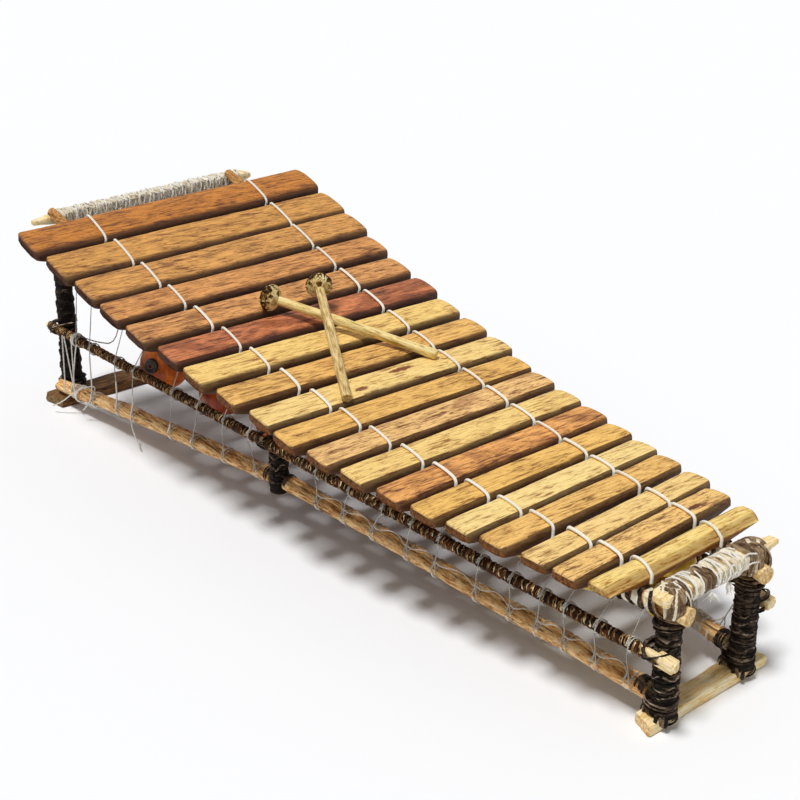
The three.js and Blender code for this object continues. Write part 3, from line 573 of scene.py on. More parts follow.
def makeKey(i):
    key = keyAt(i)
    width, length, thickness = key["width"], key["length"], key["thickness"]
    half = length / 2
    isLast = i == keyCount - 1
    insets = keyShape["insets"]
    thinLength, thin = insets[-1], key["thin"]
    if isLast:
        thinLength, thin = keyShape["lastThinLength"], thickness * keyShape["lastThin"]
    bm = bmesh.new()
    acrossTop = [-0.97, -0.9, -0.78, -0.6, -0.36, -0.12, 0.12, 0.36, 0.6, 0.78, 0.9, 0.97]
    top = [(share * 0.5, topShare(i, share)) for share in acrossTop]
    top = [(-0.5, topShare(i, -1) - 0.05), *top, (0.5, topShare(i, 1) - 0.05)]
    under = [
        (0.498, 0.3), (0.485, 0.08), (0.46, 0.005), (0.25, 0.07), (0, 0.11), (-0.25, 0.07), (-0.46, 0.005),
        (-0.485, 0.08), (-0.498, 0.3)
    ]
    outline = [bm.verts.new((across * width, -half, up * thickness)) for across, up in top + under]
    face = bm.faces.new(outline)
    steps, inner = round((length - 2 * insets[-1]) / keyShape["step"]), half - insets[-1]
    ys = [inset - half for inset in insets] + [mix(-inner, inner, k / steps) for k in range(1, steps)]
    ys += [half - inset for inset in insets[::-1]]
    for before, y in zip(ys, ys[1:]):
        made = bmesh.ops.extrude_face_region(bm, geom=[face])["geom"]
        face = next(part for part in made if isinstance(part, bmesh.types.BMFace))
        bmesh.ops.translate(bm, vec=(0, y - before, 0), verts=face.verts)
    for vert in bm.verts:
        x, y, z = vert.co
        inset, up, share = half - abs(y), z / thickness, x / width * 2
        x -= key["trim"] * max(0, share)
        low = max(0, 1 - up / 0.55)
        if inset < thinLength:
            z += thin * (1 - inset / thinLength) * low
        elif abs(y) < key["nodal"]:
            z += key["tuning"] * (1 - (y / key["nodal"]) ** 2) * low
        if inset < keyShape["fallReach"]:
            fall = (1 - inset / keyShape["fallReach"]) ** 2
            z -= keyShape["fall"] * fall * (1 - low)
            x *= 1 - 0.03 * fall
        if inset < keyShape["cornerReach"]:
            fall = (1 - inset / keyShape["cornerReach"]) ** 2
            y -= math.copysign(keyShape["cornerRound"] * fall * abs(share) ** 5, y)
        spot = Vector((x * 9 + i * 3, y * 10 + i * 5, z * 16))
        x += noise.noise(spot) * 0.0012 + noise.noise(spot * 4) * 0.0004
        z += noise.noise(spot * 1.7 + Vector((3, 3, 3))) * 0.0006 + noise.noise(spot * 6) * 0.0002
        vert.co = (x, y, z)
    bmesh.ops.recalc_face_normals(bm, faces=bm.faces)
    markEnds(bm, 0.75)
    lying = Matrix.Translation((key["x"], key["y"], key["z"])) @ Matrix.Rotation(-key["turn"], 4, "Y")
    bm.transform(lying @ Matrix.Rotation(key["yaw"], 4, "Z"))
    twisted(bm)
    if i == 8:
        for vert in bm.verts:
            fade = max(0, 1 - abs(vert.co.y - nick["y"]) / nick["reach"])
            if vert.co.x > nick["x"] - 0.006 and fade:
                vert.co.x -= nick["depth"] * fade ** 0.5
    dark, middle, pale, blotch, share, fleck = keyLooks[i + 1]
    label = f"key{i + 1:02d}"
    # edge gives each key's painted shade on its long edges and sides
    wood = woodFinish(
        label + "Wood", dark, middle, pale, place=i * 0.37, blotch=blotch, blotchShare=share, fleck=fleck, rough=0.6,
        knots=keyKnots.get(i + 1, ()), edge="#7A4206" if isLast else "#2C1408" if i < 6 else "#3E1C06"
    )
    ends = endGrainFinish(
        label + "EndGrain", "#1E0E06" if i < 12 else "#3A1E0C",
        "#5A3218" if i < 6 else "#8E5828" if i < 18 else "#D8AC60", i * 0.3
    )
    addPiece(label, bm, [wood, ends], replacing=f"key_{i + 1:02d}", sharpAngle=34)


for i in range(keyCount):
    makeKey(i)
print("keys made")


# Cords that lash the keys

keyCord = {"radius": 0.0017, "clear": 0.0006, "lean": 0.009, "loopTurns": [80, 20, -40, -100, -160]}
whiteCord = cordFinish("whiteCord", "#E6DEC8", "#FDF9EE")


def keyCordStops(side):
    stops = []
    reach = keyCord["radius"] + keyCord["clear"]
    turns = keyCord["loopTurns"] if side < 0 else keyCord["loopTurns"][::-1]
    loopRadius = (keyBed["railRadius"] + reach) / math.cos(math.radians(30))
    for i in range(keyCount):
        key = keyAt(i)
        half, thickness = key["width"] / 2, key["thickness"]
        over = [(-half - reach, thickness * 0.2), (-half - reach * 0.8, thickness * topShare(i, -1))]
        for share in (-0.9, -0.7, -0.35, 0, 0.35, 0.7, 0.9):
            over.append((share * (half + reach * 0.4), thickness * topShare(i, share) + reach * 1.02))
        edge = half - key["trim"]
        over += [(edge + reach * 0.8, thickness * topShare(i, 1)), (edge + reach, thickness * 0.2)]
        sway = 0.0012 * noise.noise(Vector((i * 2.3, side * 3.0, 1)))
        for k, (across, up) in enumerate(over):
            lean = keyCord["lean"] * (k / (len(over) - 1) - 0.5)
            stops.append(onKey(key, across, side * key["nodal"] - lean + sway, up))
        if i == keyCount - 1:
            break
        loopX = onKey(key, half + reach, 0, 0).x
        for turn in turns:
            angle = math.radians(turn)
            y = railReach(loopX) + math.cos(angle) * loopRadius
            stops.append(Vector((loopX, side * y, railHeight(loopX) + math.sin(angle) * loopRadius)))
    return stops


for side, label in bothSides:
    bm = cord(keyCordStops(side), keyCord["radius"], 0.0016, 2, 0.011, sides=9, lobes=3)
    addPiece(
        "keyCord" + label, twisted(bm), [whiteCord], replacing="key_cord_" + label.lower(), sharpAngle=80
    )
print("key cords made")


# Rails, planks and posts

poleWood = woodFinish(
    "poleWood", "#6A3A18", "#AC7436", "#DCA862", along=0, place=3.1, blotch="#4E2A14", blotchShare=0.3, fleck=0.7,
    cracks=0.5
)
splitWood = woodFinish(
    "splitWood", "#9A6029", "#E8AE68", "#FFDDA2", along=0, place=4.3, blotch="#7A4620", blotchShare=0.22, fleck=0.6,
    cracks=0.8
)
palePlankWood = woodFinish(
    "palePlankWood", "#E6BC70", "#FFE2A4", "#FFF3CE", along=1, place=5.2, blotch="#8A5A2A", blotchShare=0.1,
    fleck=0.4, cracks=0.3
)
pegWood = woodFinish("pegWood", "#D0A45C", "#F8DCA0", "#FFF0C8", along=0, place=7.7, fleck=0.4)
brownPlankWood = woodFinish(
    "brownPlankWood", "#2A180C", "#62401F", "#8E6434", along=1, place=6.4, blotch="#1C1008", blotchShare=0.35,
    fleck=0.7, rough=0.8, cracks=0.6
)
paleEnds = endGrainFinish("paleEndGrain", "#C8924C", "#FFE8B0", 1.0)
brownEnds = endGrainFinish("brownEndGrain", "#2E1A0C", "#9A7A4A", 2.0)
darkBark = stripFinish("darkBarkStrip", "#060302", "#18100A", "#7A6654", place=1.0, spread=0.14)
greyBark = stripFinish("greyBarkStrip", "#120C08", "#4E3E32", "#C4B096", place=1.6, spread=0.12)
railBark = stripFinish("railBarkStrip", "#080403", "#24120B", "#7E4E2A", axis=0, place=2.0, spread=0.13)
railGold = stripFinish("railGoldStrip", "#3A1C0C", "#86552A", "#E8C48A", axis=0, place=2.6, spread=0.11)
creamStrip = stripFinish("creamStrip", "#B09468", "#F0E4C6", "#FDF8EA", axis=1, scale=110, place=4.0, spread=0.12)
brownStrip = stripFinish("brownStrip", "#2E2016", "#7A6046", "#C2AA86", axis=1, scale=150, place=5.0, spread=0.12)
raffiaStrip = stripFinish("raffiaStrip", "#9A8C7A", "#E0D6C4", "#FEFAF0", axis=1, scale=260, place=6.0, spread=0.12)
blackBark = stripFinish("blackBarkStrip", "#030201", "#0C0806", "#4A3C30", place=1.3, spread=0.15)
coreBark = stripFinish("coreBark", "#050302", "#160E09", "#382A1E", place=3.0)

railSizes = {"upper": 0.009, "middle": 0.007, "lower": 0.009, "post": 0.0105, "wound": 0.0136, "overhang": 0.015}
upperEnds = (bassPostX - railSizes["overhang"], treblePostX + railSizes["overhang"] + 0.006)


def byPosts(x, values, start=bassPostX):  # between values at the bass end, the middle post and the treble post
    if x < middlePostX:
        return mix(values[0], values[1], (x - start) / (middlePostX - start))
    return mix(values[1], values[2], (x - middlePostX) / (treblePostX - middlePostX))


def middleReach(x):
    base = byPosts(x, [railReach(post) for post in (bassPostX, middlePostX, treblePostX)])
    return base + railSizes["wound"] + keyBed["seat"] + railSizes["middle"]


def middleHeight(x):
    return byPosts(x, (0.117, 0.112, 0.088))


lowerRail = {
    "heights": (0.0254, 0.048, 0.029), "start": -0.572, "fromPost": 0.0139, "besidePost": 0.0229,
    "bow": [
        (-0.58, 0.0), (-0.48, 0.003), (-0.4, 0.006), (-0.235, 0.0066), (-0.061, 0.007), (0.06, 0.008), (0.15, 0.007),
        (0.25, 0.004), (0.42, 0.0036), (0.5, 0.002)
    ],
}
lowerEnds = {
    "Bass": (lowerRail["start"], middlePostX - lowerRail["fromPost"]),
    "Treble": (middlePostX + lowerRail["fromPost"], treblePostX - lowerRail["fromPost"]),
}


def lowerReach(x):
    return byPosts(
        x, (railReach(bassPostX) + lowerRail["besidePost"], railReach(middlePostX), railReach(treblePostX))
    )


def lowerHeight(x):
    pairs = zip(lowerRail["bow"], lowerRail["bow"][1:])
    bow = next(mix(low, high, (x - first) / (last - first)) for (first, low), (last, high) in pairs if x <= last)
    return bow + byPosts(x, lowerRail["heights"], lowerRail["start"])


def upperAt(x, side):
    return Vector((x, side * railReach(x), railHeight(x)))


def middleAt(x, side):
    return Vector((x, side * middleReach(x), middleHeight(x)))


def lowerAt(x, side):
    return Vector((x, side * lowerReach(x), lowerHeight(x)))


def halfUpright(x):  # half the upper rail's thickness, measured straight up
    return railSizes["upper"] / math.cos(math.atan(railSlope(x)))


def paleAtEnds(bm, low, high, index):
    for face in bm.faces:
        x = face.calc_center_median().x
        if x < low + 0.001 or x > high - 0.001:
            face.material_index = index


for side, label in bothSides:
    lower = label.lower()
    xs = [mix(*upperEnds, k / 70) for k in range(71)]
    slim = [mix(0.72, 1, min(1, k / 3)) for k in range(71)]
    pole = sweep([upperAt(x, side) for x in xs], railSizes["upper"], sides=18, radii=slim)
    paleAtEnds(pole, upperEnds[0], upperEnds[1] - 0.02, 1)
    roughen(pole, 0.0012, 60, 2.0 + side)
    parts = [(None, pole)]
    for start, end, width, index, grow in ((0.416, 0.49, 0.0082, 2, 0.0), (0.41, 0.488, 0.0042, 3, 0.0009)):
        radius = railSizes["upper"] + 0.0004 + grow
        first, last, seed = upperAt(start, side), upperAt(end, side), start * 40 + side
        strip = wound(first, last, radius, 0.0125, width, 0.0013, seed, unruly=1.5)
        parts.append((index, strip))
    addPiece(
        "upperRail" + label, twisted(merged(parts)), [poleWood, paleEnds, creamStrip, darkBark],
        replacing="upper_rail_" + lower
    )

    reach = railSizes["wound"] + 0.013
    middleEnds = (bassPostX - reach, treblePostX + reach)
    xs = [mix(middleEnds[0], middlePostX, k / 20) for k in range(20)]
    xs += [mix(middlePostX, middleEnds[1], k / 24) for k in range(25)]
    if side > 0:
        xs[-1] -= 0.009
    xs[0] += 0.008
    core = sweep([middleAt(x, side) for x in xs], 0.005, sides=12)
    roughen(core, 0.0007, 70, 5.0)
    parts = [(0, core)]
    for start, end in ((middleEnds[0] + 0.0086, middlePostX), (middlePostX, treblePostX - 0.006)):
        for index, shift, radius, width, thickness, scale, unruly in (
            (1, 0, 0.0046, 0.0054, 0.0017, 30, 1.6), (2, 0.0045, 0.0052, 0.0011, 0.0015, 50, 2.0)
        ):
            place, seed = middleAt(start, side) + east * shift, start * scale + side
            strip = wound(
                place, middleAt(end, side), radius, 0.0072, width, thickness, seed, stepsPerTurn=12, unruly=unruly
            )
            parts.append((index, strip))
    end = middleAt(middleEnds[1] - 0.001, side)
    peg = block((0.021, 0.0118, 0.0118), end - east * (0.0105 + (0.008 if side > 0 else 0)), edge=0.0012)
    parts.append((0, peg))
    addPiece(
        "middleRail" + label, merged(parts), [pegWood, railBark, railGold], replacing="middle_rail_" + lower,
    )

    for end, (first, last) in lowerEnds.items():
        parts = []
        first += 0.013 if end == "Bass" else 0
        stout = 1.14 if side > 0 and end == "Treble" else 1
        swell = [mix(0.7, 1, min(1, k / 3)) if end == "Bass" else mix(1, 1.14, max(0, k - 32) / 8) for k in range(41)]
        for outwards, rise, radius, sides, seed in (
            (0.0014, -0.0013, 0.0076, 16, 1.0), (-0.0032, 0.0038, 0.0052, 12, 5.0)
        ):
            points = [lowerAt(mix(first, last, k / 40), side) + Vector((0, side * outwards, rise)) for k in range(41)]
            half = sweep(points, radius, sides=sides, radii=[stout * each for each in swell])
            paleAtEnds(half, first, last, 1)
            roughen(half, 0.0013, 45, seed + side + first)
            parts.append((None, half))
        addPiece(
            "lowerRail" + end + label, merged(parts), [splitWood, paleEnds],
            replacing=f"lower_rail_{end.lower()}_{lower}"
        )
print("rails made")

posts = {
    "bass": {
        "x": bassPostX, "foot": 0.0163, "footShift": -0.011, "footSwell": 1.4, "pitch": 0.0098, "width": 0.0088,
        "sunk": 0.0012
    },
    "middle": {
        "x": middlePostX, "foot": 0.038, "footShift": -0.003, "footSwell": 1.0, "pitch": 0.0062, "width": 0.005,
        "sunk": 0.0004
    },
    "treble": {
        "x": treblePostX, "foot": 0.0143, "footShift": 0.003, "footSwell": 1.12, "pitch": 0.0047, "width": 0.0038,
        "sunk": 0.0004
    },
}
for end, sizes in posts.items():
    for side, label in bothSides:
        x = sizes["x"]
        topZ = railHeight(x + railSizes["post"]) - halfUpright(x) - keyBed["seat"]
        top = Vector((x, side * railReach(x), topZ))
        foot = Vector((x + sizes["footShift"], side * railReach(x), sizes["foot"]))
        swell = [mix(sizes["footSwell"], 1, min(1, k / 13)) * mix(1.1, 1, min(1, k / 3)) for k in range(17)]
        core = sweep([foot.lerp(top, k / 16) for k in range(17)], railSizes["post"], sides=16, radii=swell)
        roughen(core, 0.0012, 60, x * 9 + side)
        parts = [(0, core)]
        layers = (
            (1, 0.03, 1.0, 1.0, 0.0016, 1.5), (2, 0.1, 2.3, 0.62, 0.0026, 2.2), (1, 0.05, 1.61, 0.8, 0.0021, 1.8)
        )
        for index, share, pitchShare, widthShare, thickness, unruly in layers:
            base, pitch, width = foot.lerp(top, share), sizes["pitch"] * pitchShare, sizes["width"] * widthShare
            strip = wound(
                base, top, railSizes["post"] - sizes["sunk"], pitch, width, thickness, x * 7 + side * 3 + share * 40,
                stepsPerTurn=18, unruly=unruly
            )
            for vert in strip.verts:
                height = (vert.co.z - base.z) / (top.z - base.z)
                axis = base.lerp(top, height)
                grow = mix(sizes["footSwell"], 1, min(1, mix(share, 1, height) * 16 / 13))
                vert.co.xy = axis.xy + (vert.co.xy - axis.xy) * grow
            parts.append((index, strip))
        post = merged(parts)
        for vert in post.verts:
            vert.co.z += twistAt(vert.co.x, vert.co.y) * vert.co.z / top.z
        addPiece(
            f"{end}Post{label}", post,
            [coreBark, blackBark, darkBark] if end == "bass" else [coreBark, darkBark, greyBark],
            replacing=f"post_{end}_{label.lower()}"
        )
print("posts made")

planks = {
    "Bass": {
        "x": (-0.572, -0.532), "thickness": 0.016, "front": (0.186, 0.179), "back": (0.179, 0.186),
        "finishes": [brownPlankWood, brownEnds]
    },
    "Treble": {
        "x": (0.481, 0.505), "thickness": 0.014, "front": (0.077, 0.084), "back": (0.088, 0.095),
        "finishes": [palePlankWood, paleEnds]
    },
}
for end, plank in planks.items():
    (west, eastX), thickness = plank["x"], plank["thickness"]
    bm = block((eastX - west, 2, thickness), ((west + eastX) / 2, 0, thickness / 2), edge=0.0025, cuts=30)
    for vert in bm.verts:
        share = (vert.co.x - west) / (eastX - west)
        reach = mix(*plank["front" if vert.co.y < 0 else "back"], share)
        vert.co.y *= reach
        spot = vert.co * 34
        vert.co.z += noise.noise(spot) * 0.0012 * (vert.co.z / thickness)
        vert.co.x += noise.noise(vert.co * 26 + Vector((5, 5, 5))) * 0.0015
        if abs(vert.co.y) > reach * 0.97:
            vert.co.y += noise.noise(spot * 5) * 0.003
            vert.co.z = mix(vert.co.z, thickness * 0.5, 0.12)
    bm.normal_update()
    markEnds(bm)
    addPiece(
        "groundPlank" + end, bm, plank["finishes"], replacing="ground_plank_" + end.lower(),
    )
print("planks made")


# Crossbars

stringFinish = cordFinish("lacingString", "#C8C0B0", "#F6F1E6")
whiteString = cordFinish("whiteString", "#DAD4C6", "#FBF8F0")

railEnd = upperEnds[0]
endTurn = math.atan(railSlope(railEnd))
bassBarX = bassPostX - railSizes["wound"] - keyBed["seat"] - 0.011
bassBarZ = railHeight(railEnd) - math.cos(endTurn) * railSizes["upper"] - keyBed["seat"] - 0.0075
trebleHighX = treblePostX - 0.008
trebleBarZ = railHeight(trebleHighX) + halfUpright(trebleHighX) + keyBed["seat"] + 0.0075
bars = {
    "bass": {
        "x": bassBarX, "front": (-0.173, bassBarZ + 0.001), "back": (0.19, bassBarZ + 0.0125), "point": (0.034, 0.004),
        "finishes": [pegWood, paleEnds, raffiaStrip, creamStrip, whiteString],
    },
    "treble": {
        "x": treblePostX, "front": (-0.08, trebleBarZ), "back": (0.093, trebleBarZ), "point": (0.002, 0.03),
        "finishes": [palePlankWood, paleEnds, creamStrip, brownStrip, whiteString],
    },
}


def barAt(bar, y):
    share = (y - bar["front"][0]) / (bar["back"][0] - bar["front"][0])
    return Vector((bar["x"], y, mix(bar["front"][1], bar["back"][1], share)))


barWinding = {"radius": 0.009, "box": (0.0108, 0.0074)}


def barStrip(start, stop, pitch, width, thickness, seed, unruly=1.6):
    return wound(start, stop, pitch=pitch, width=width, thickness=thickness, seed=seed, unruly=unruly, **barWinding)


for end, bar in bars.items():
    (low, _), (high, _) = bar["front"], bar["back"]
    core = block((0.02, 2, 0.0135), (0, 0, 0), edge=0.003, cuts=30)
    for vert in core.verts:
        share = (vert.co.y + 1) / 2
        y = mix(low, high, share)
        frontFade, backFade = (
            min(1, max(inset, 0) / reach) for inset, reach in zip((y - low, high - y), bar["point"])
        )
        slim = mix(0.45, 1, frontFade) * mix(0.4, 1, backFade)
        axis = barAt(bar, y)
        vert.co = Vector((axis.x + vert.co.x * mix(0.55, 1, min(frontFade, backFade)), y, axis.z + vert.co.z * slim))
    roughen(core, 0.0009, 70, low)
    core.normal_update()
    markEnds(core)
    parts = [(None, core)]
    if end == "bass":
        start, stop = barAt(bar, -0.128), barAt(bar, 0.164)
        for index, pitch, width, thickness, seed, unruly in (
            (2, 0.0044, 0.0032, 0.0014, 31, 1.8), (3, 0.0083, 0.0026, 0.0024, 37, 2.6),
            (4, 0.0101, 0.0019, 0.0031, 43, 3.0)
        ):
            parts.append((index, barStrip(start, stop, pitch, width, thickness, seed, unruly)))
        way = (stop - start).normalized()
        for turns, share, advance in ((-9, 0.02, 0.14), (-8, 0.5, 0.13), (-5, 0.3, 0.09)):
            points = coil(start.lerp(stop, share), way * advance, up * 0.0112, east * 0.0142, turns)
            parts.append((4, sweep(points, 0.0009, sides=5)))
        for place, count in ((-0.129, 4), (0.164, 3)):
            parts += bound(
                (3, 4), barAt(bar, place), east * 0.0132, up * 0.0108, count, 0.0017, 5 + count, spread=0.005,
                tilt=0.5
            )
    else:
        bands = [
            (-0.066, -0.046, 3, 0.0052, 0.0016), (-0.048, -0.03, 2, 0.0125, 0.0022),
            (-0.032, -0.008, 3, 0.0062, 0.002), (-0.01, 0.012, 2, 0.0078, 0.0026), (0.01, 0.038, 2, 0.0115, 0.003),
            (0.036, 0.066, 3, 0.0062, 0.0034)
        ]
        for k, (first, last, index, pitch, thickness) in enumerate(bands):
            strip = barStrip(barAt(bar, first), barAt(bar, last), pitch, pitch * 0.9, thickness, 41 + k * 3)
            parts.append((index, strip))
        for first, last, turns in ((-0.06, -0.036, 3), (-0.052, -0.03, -2), (-0.014, 0.03, 4), (-0.02, 0.024, -3)):
            points = coil(barAt(bar, first), north * (last - first), up * 0.0125, east * 0.0152, turns)
            parts.append((4, sweep(points, 0.0009, sides=6)))
    addPiece(end + "Crossbar", merged(parts), bar["finishes"], replacing="top_crossbar_" + end)

zigzag = {  # loose white string over the treble bar's outer face, as places along the bar and heights
    "radius": 0.0009, "out": 0.0145,
    "stops": [
        (0.045, 0.009), (0.03, 0.013), (0.012, -0.008), (0.004, 0.0125), (-0.006, -0.011), (0.014, 0.0135),
        (0.022, -0.011), (0.0, 0.012), (-0.014, -0.012), (-0.008, 0.013), (0.018, -0.0125), (0.034, 0.002),
        (0.05, -0.002)
    ],
}
knotHairs = random.Random(12)
parts = []
route = [
    Vector((treblePostX + (zigzag["out"] if abs(height) < 0.012 else zigzag["out"] * 0.75), y, trebleBarZ + height))
    for y, height in zigzag["stops"]
]
parts.append((0, cord(route, zigzag["radius"], 0.0015, 2, 0.006)))
for y in (-0.017, 0.008):
    for k in range(9):
        start = Vector((treblePostX + 0.0125, y, trebleBarZ - 0.011))
        way = Vector([knotHairs.uniform(*limits) for limits in ((-0.3, 1), (-1, 1), (-1.2, 0.5))]).normalized()
        bend = Vector((0, knotHairs.uniform(-0.5, 0.5), -0.5))
        points = [start + way * (0.009 * t) + bend * (0.006 * t * t) for t in (0, 0.25, 0.5, 0.75, 1)]
        parts.append((0, sweep(points, 0.0007, sides=5, radii=[2.2, 1.8, 1.3, 0.9, 0.5])))
addPiece("trebleZigzagString", merged(parts), [whiteString], sharpAngle=80)
print("crossbars made")


# Lashings at the joints

diagonal = {1: (east + north).normalized(), -1: (east - north).normalized()}
parts = []
for side in (-1, 1):
    joint = Vector((treblePostX, side * railReach(treblePostX), 0.1375))
    tones = (3, 3, 2) if side < 0 else (3, 2, 3)
    for cross, way in diagonal.items():
        parts += bound(
            tones, joint + up * 0.0015, way * 0.0162, up * 0.0178, 6, 0.0024, 3 + side + cross, spread=0.0075,
            tilt=0.16, flat=0.3
        )
    parts += bound(
        (1, 3, 0), joint - up * 0.021, east * 0.0135, north * 0.0135, 5, 0.0022, 9 + side, spread=0.007, tilt=0.3
    )
    foot = Vector((treblePostX - 0.001, side * railReach(treblePostX), 0.0095))
    for cross, way in diagonal.items():
        parts += bound(
            (0, 1, 3), foot + up * 0.003, way * 0.0165, up * 0.0112, 4, 0.0018, 13 + side + cross, spread=0.006,
            tilt=0.2
        )
    parts += bound(
        (0, 1), foot + up * 0.018, east * 0.0142, north * 0.0142, 5, 0.0022, 17 + side, spread=0.007, tilt=0.25
    )
    bassFoot = Vector((bassPostX - 0.01, side * railReach(bassPostX), 0.026))
    parts += bound((0, 1), bassFoot, east * 0.0172, north * 0.0172, 5, 0.0022, 19 + side, spread=0.007, tilt=0.3)
    for x in (bassPostX, middlePostX, treblePostX):
        crossing = middleAt(x, side) - north * side * 0.0102
        for lean in (0.45, -0.45):
            first = (east + up * lean).normalized() * 0.0138
            parts += bound(
                (0, 0, 1), crossing, first, north * 0.0178, 3, 0.0017, x * 50 + side + lean, spread=0.003, tilt=0.15
            )
    under = upperAt(middlePostX, side) - up * 0.006
    parts += bound((0,), under, diagonal[1] * 0.0135, up * 0.016, 4, 0.002, 29 + side, spread=0.005, tilt=0.3)
    for x in (middlePostX - 0.0175, middlePostX + 0.0175, treblePostX - 0.0175, treblePostX - 0.0225):
        place = lowerAt(x, side) + Vector((0, -side * 0.001, 0.001))
        parts += bound((0,), place, north * 0.0098, up * 0.0102, 2, 0.0015, x * 70 + side, spread=0.002, tilt=0.2)
addPiece("barkLashings", merged(parts), [darkBark, greyBark, creamStrip, brownStrip], sharpAngle=60)

tie = wound(
    lowerAt(0.434, 1) + up * 0.001, lowerAt(0.452, 1) + up * 0.001, 0.0094, 0.0028, 0.0024, 0.0014, 3.0, unruly=1.2
)
addPiece("backRailTie", merged([(0, tie)]), [raffiaStrip], sharpAngle=60)
print("lashings made")


# Gourds

gourdSizes = {
    "first": 3, "firstBack": 8, "radius": (0.034, 0.017), "wall": 0.0035, "mouthDrop": 0.009, "lean": 0.15,
    "neck": 0.6, "postGap": 0.002, "inset": (0.031, 0.036), "rise": (-0.001, 0.005, 0.022), "tieRadius": 0.0012,
    "tieDrop": 0.005, "tieOffset": 0.006, "lastThree": 17, "lastThreeGrow": 1.22, "lastTwo": 18, "lastTwoShift": 0.009,
}
# The dark tones are painted shade: a darker copy of the red, for the gourds that lie in the shade under keys 8 to 11
gourdTones = {
    "orange": ("#7A2C04", "#C85C0A", "#F29228"), "red": ("#4A1606", "#8E340C", "#B85418"),
    "dark": ("#3A1408", "#74300E", "#9C4E1A"), "yellow": ("#A87C20", "#E8BE48", "#FAE080"),
}
# gourds 8 to 11 take the painted shade tones
gourdLooks = ["orange", "red", "red"] + ["dark"] * 4 + ["red"] * 3 + ["yellow"] * 7
gourdFinishes = {
    name: gourdFinish(name + "Gourd", *tones, place=k * 1.0) for k, (name, tones) in enumerate(gourdTones.items())
}
tieString = cordFinish("gourdTieString", "#9A8E78", "#D8CEB8")


def gourdProfile(radius, height, inset):
    belly, neck = radius - inset, radius * gourdSizes["neck"] - inset
    points = [(math.cos(math.radians(a)) * belly, math.sin(math.radians(a)) * belly) for a in range(-80, 30, 10)]
    shoulder = points[-1]
    for k in range(1, 9):
        share = k / 8
        fade = share * share * (3 - 2 * share)
        points.append((mix(shoulder[0], neck, fade ** 0.8), mix(shoulder[1], height, share)))
    return [(0, -belly), *points]


gourdNumbers = range(gourdSizes["first"], keyCount + 1)
gourdNumbers = [number for number in gourdNumbers if number % 2 or number >= gourdSizes["firstBack"]]
firstGourd = {}
for k, number in enumerate(gourdNumbers):
    side = -1 if number % 2 else 1
    key, x = keyAt(number - 1), keyPlaces[number - 1]
    share = (number - gourdSizes["first"]) / (keyCount - gourdSizes["first"])
    radius = mix(*gourdSizes["radius"], share)
    if number >= gourdSizes["lastThree"]:
        radius *= gourdSizes["lastThreeGrow"]
    if number >= gourdSizes["lastTwo"]:
        x += gourdSizes["lastTwoShift"]
    z = middleHeight(x) + through(*gourdSizes["rise"], share)
    postRadii = radius + gourdSizes["postGap"] + railSizes["wound"]
    clear = postRadii ** 2 - (x - middlePostX) ** 2
    y = railReach(x) - mix(*gourdSizes["inset"], share)
    if clear > 0:
        y = min(y, railReach(middlePostX) - math.sqrt(clear))
    neck = radius * gourdSizes["neck"]
    lean = gourdSizes["lean"]
    height = (key["z"] - gourdSizes["mouthDrop"] - z - neck * (math.sin(lean) - railSlope(x))) / math.cos(lean)
    neckHeight = height - gourdSizes["tieDrop"]
    neckY, neckZ = side * (y - math.sin(lean) * neckHeight), z + math.cos(lean) * neckHeight
    profile = gourdProfile(radius, height, 0) + gourdProfile(radius, height, gourdSizes["wall"])[::-1]
    bm = turned(profile, 32, isClosed=False)
    for vert in bm.verts:
        vert.co *= 1 + noise.noise(vert.co * 14 + Vector((number, 0, 0))) * 0.02
    place = Vector((x, side * y, z))
    if number == gourdSizes["first"]:
        place += Vector((-0.006, side * 0.005, 0))
        firstGourd = {"place": place, "radius": radius}
    bm.transform(Matrix.Translation(place) @ Matrix.Rotation(lean * side, 4, "X"))
    tieX, near = x + side * gourdSizes["tieOffset"], neck + 0.003
    reach, railZ = railReach(tieX) - railSizes["upper"] - keyBed["seat"], railHeight(tieX)
    spots = (
        (-reach, railZ), (0.003 - reach, railZ), (neckY - near, neckZ), (neckY + near, neckZ), (reach - 0.003, railZ),
        (reach, railZ)
    )
    tie = cord([Vector((tieX, *spot)) for spot in spots], gourdSizes["tieRadius"], 0.004, 0, 0.008)
    addPiece(
        f"gourd{number:02d}", merged([(0, bm), (1, tie)]), [gourdFinishes[gourdLooks[k]], tieString],
        replacing=f"gourd_{number:02d}", sharpAngle=60
    )

membrane = {"way": Vector((0.45, -0.845, 0.28)).normalized(), "radius": 0.0078, "thickness": 0.0026}
waxDark, waxTree, waxShader = newFinish("membraneWax", 0.5)
waxNoise = noiseAt(waxTree, stretched(waxTree, (1, 1, 1)), 300, 3)
waxTone = ramp(waxTree, waxNoise, [(0.3, "#0C0604"), (0.7, "#2E1A0E")])
paint(waxTree, waxShader, waxTone, waxNoise, 0.5, 0.001)
skinFinish = cordFinish("membraneSkin", "#4A3A2C", "#8A7660", rough=0.4)
outwards = membrane["way"]
seatSpot = firstGourd["place"] + outwards * (firstGourd["radius"] + 0.0006)
side = outwards.orthogonal().normalized()
across = outwards.cross(side)
parts = [
    (0, sweep(coil(seatSpot, outwards * 0, side * reach, across * reach, 1.02, 24), membrane["thickness"], sides=10))
    for reach in (membrane["radius"], membrane["radius"] * 0.62)
]
dimple = coil(seatSpot + outwards * 0.0024, outwards * 0, side * 0.0031, across * 0.0031, 1.02, 18)
parts.append((1, sweep(dimple, 0.0006, sides=6)))
addPiece("membraneRing", merged(parts), [waxDark, skinFinish])
print("gourds made")


# String lacing at the sides: each strand is hitched on the middle rail and looped round the lower one

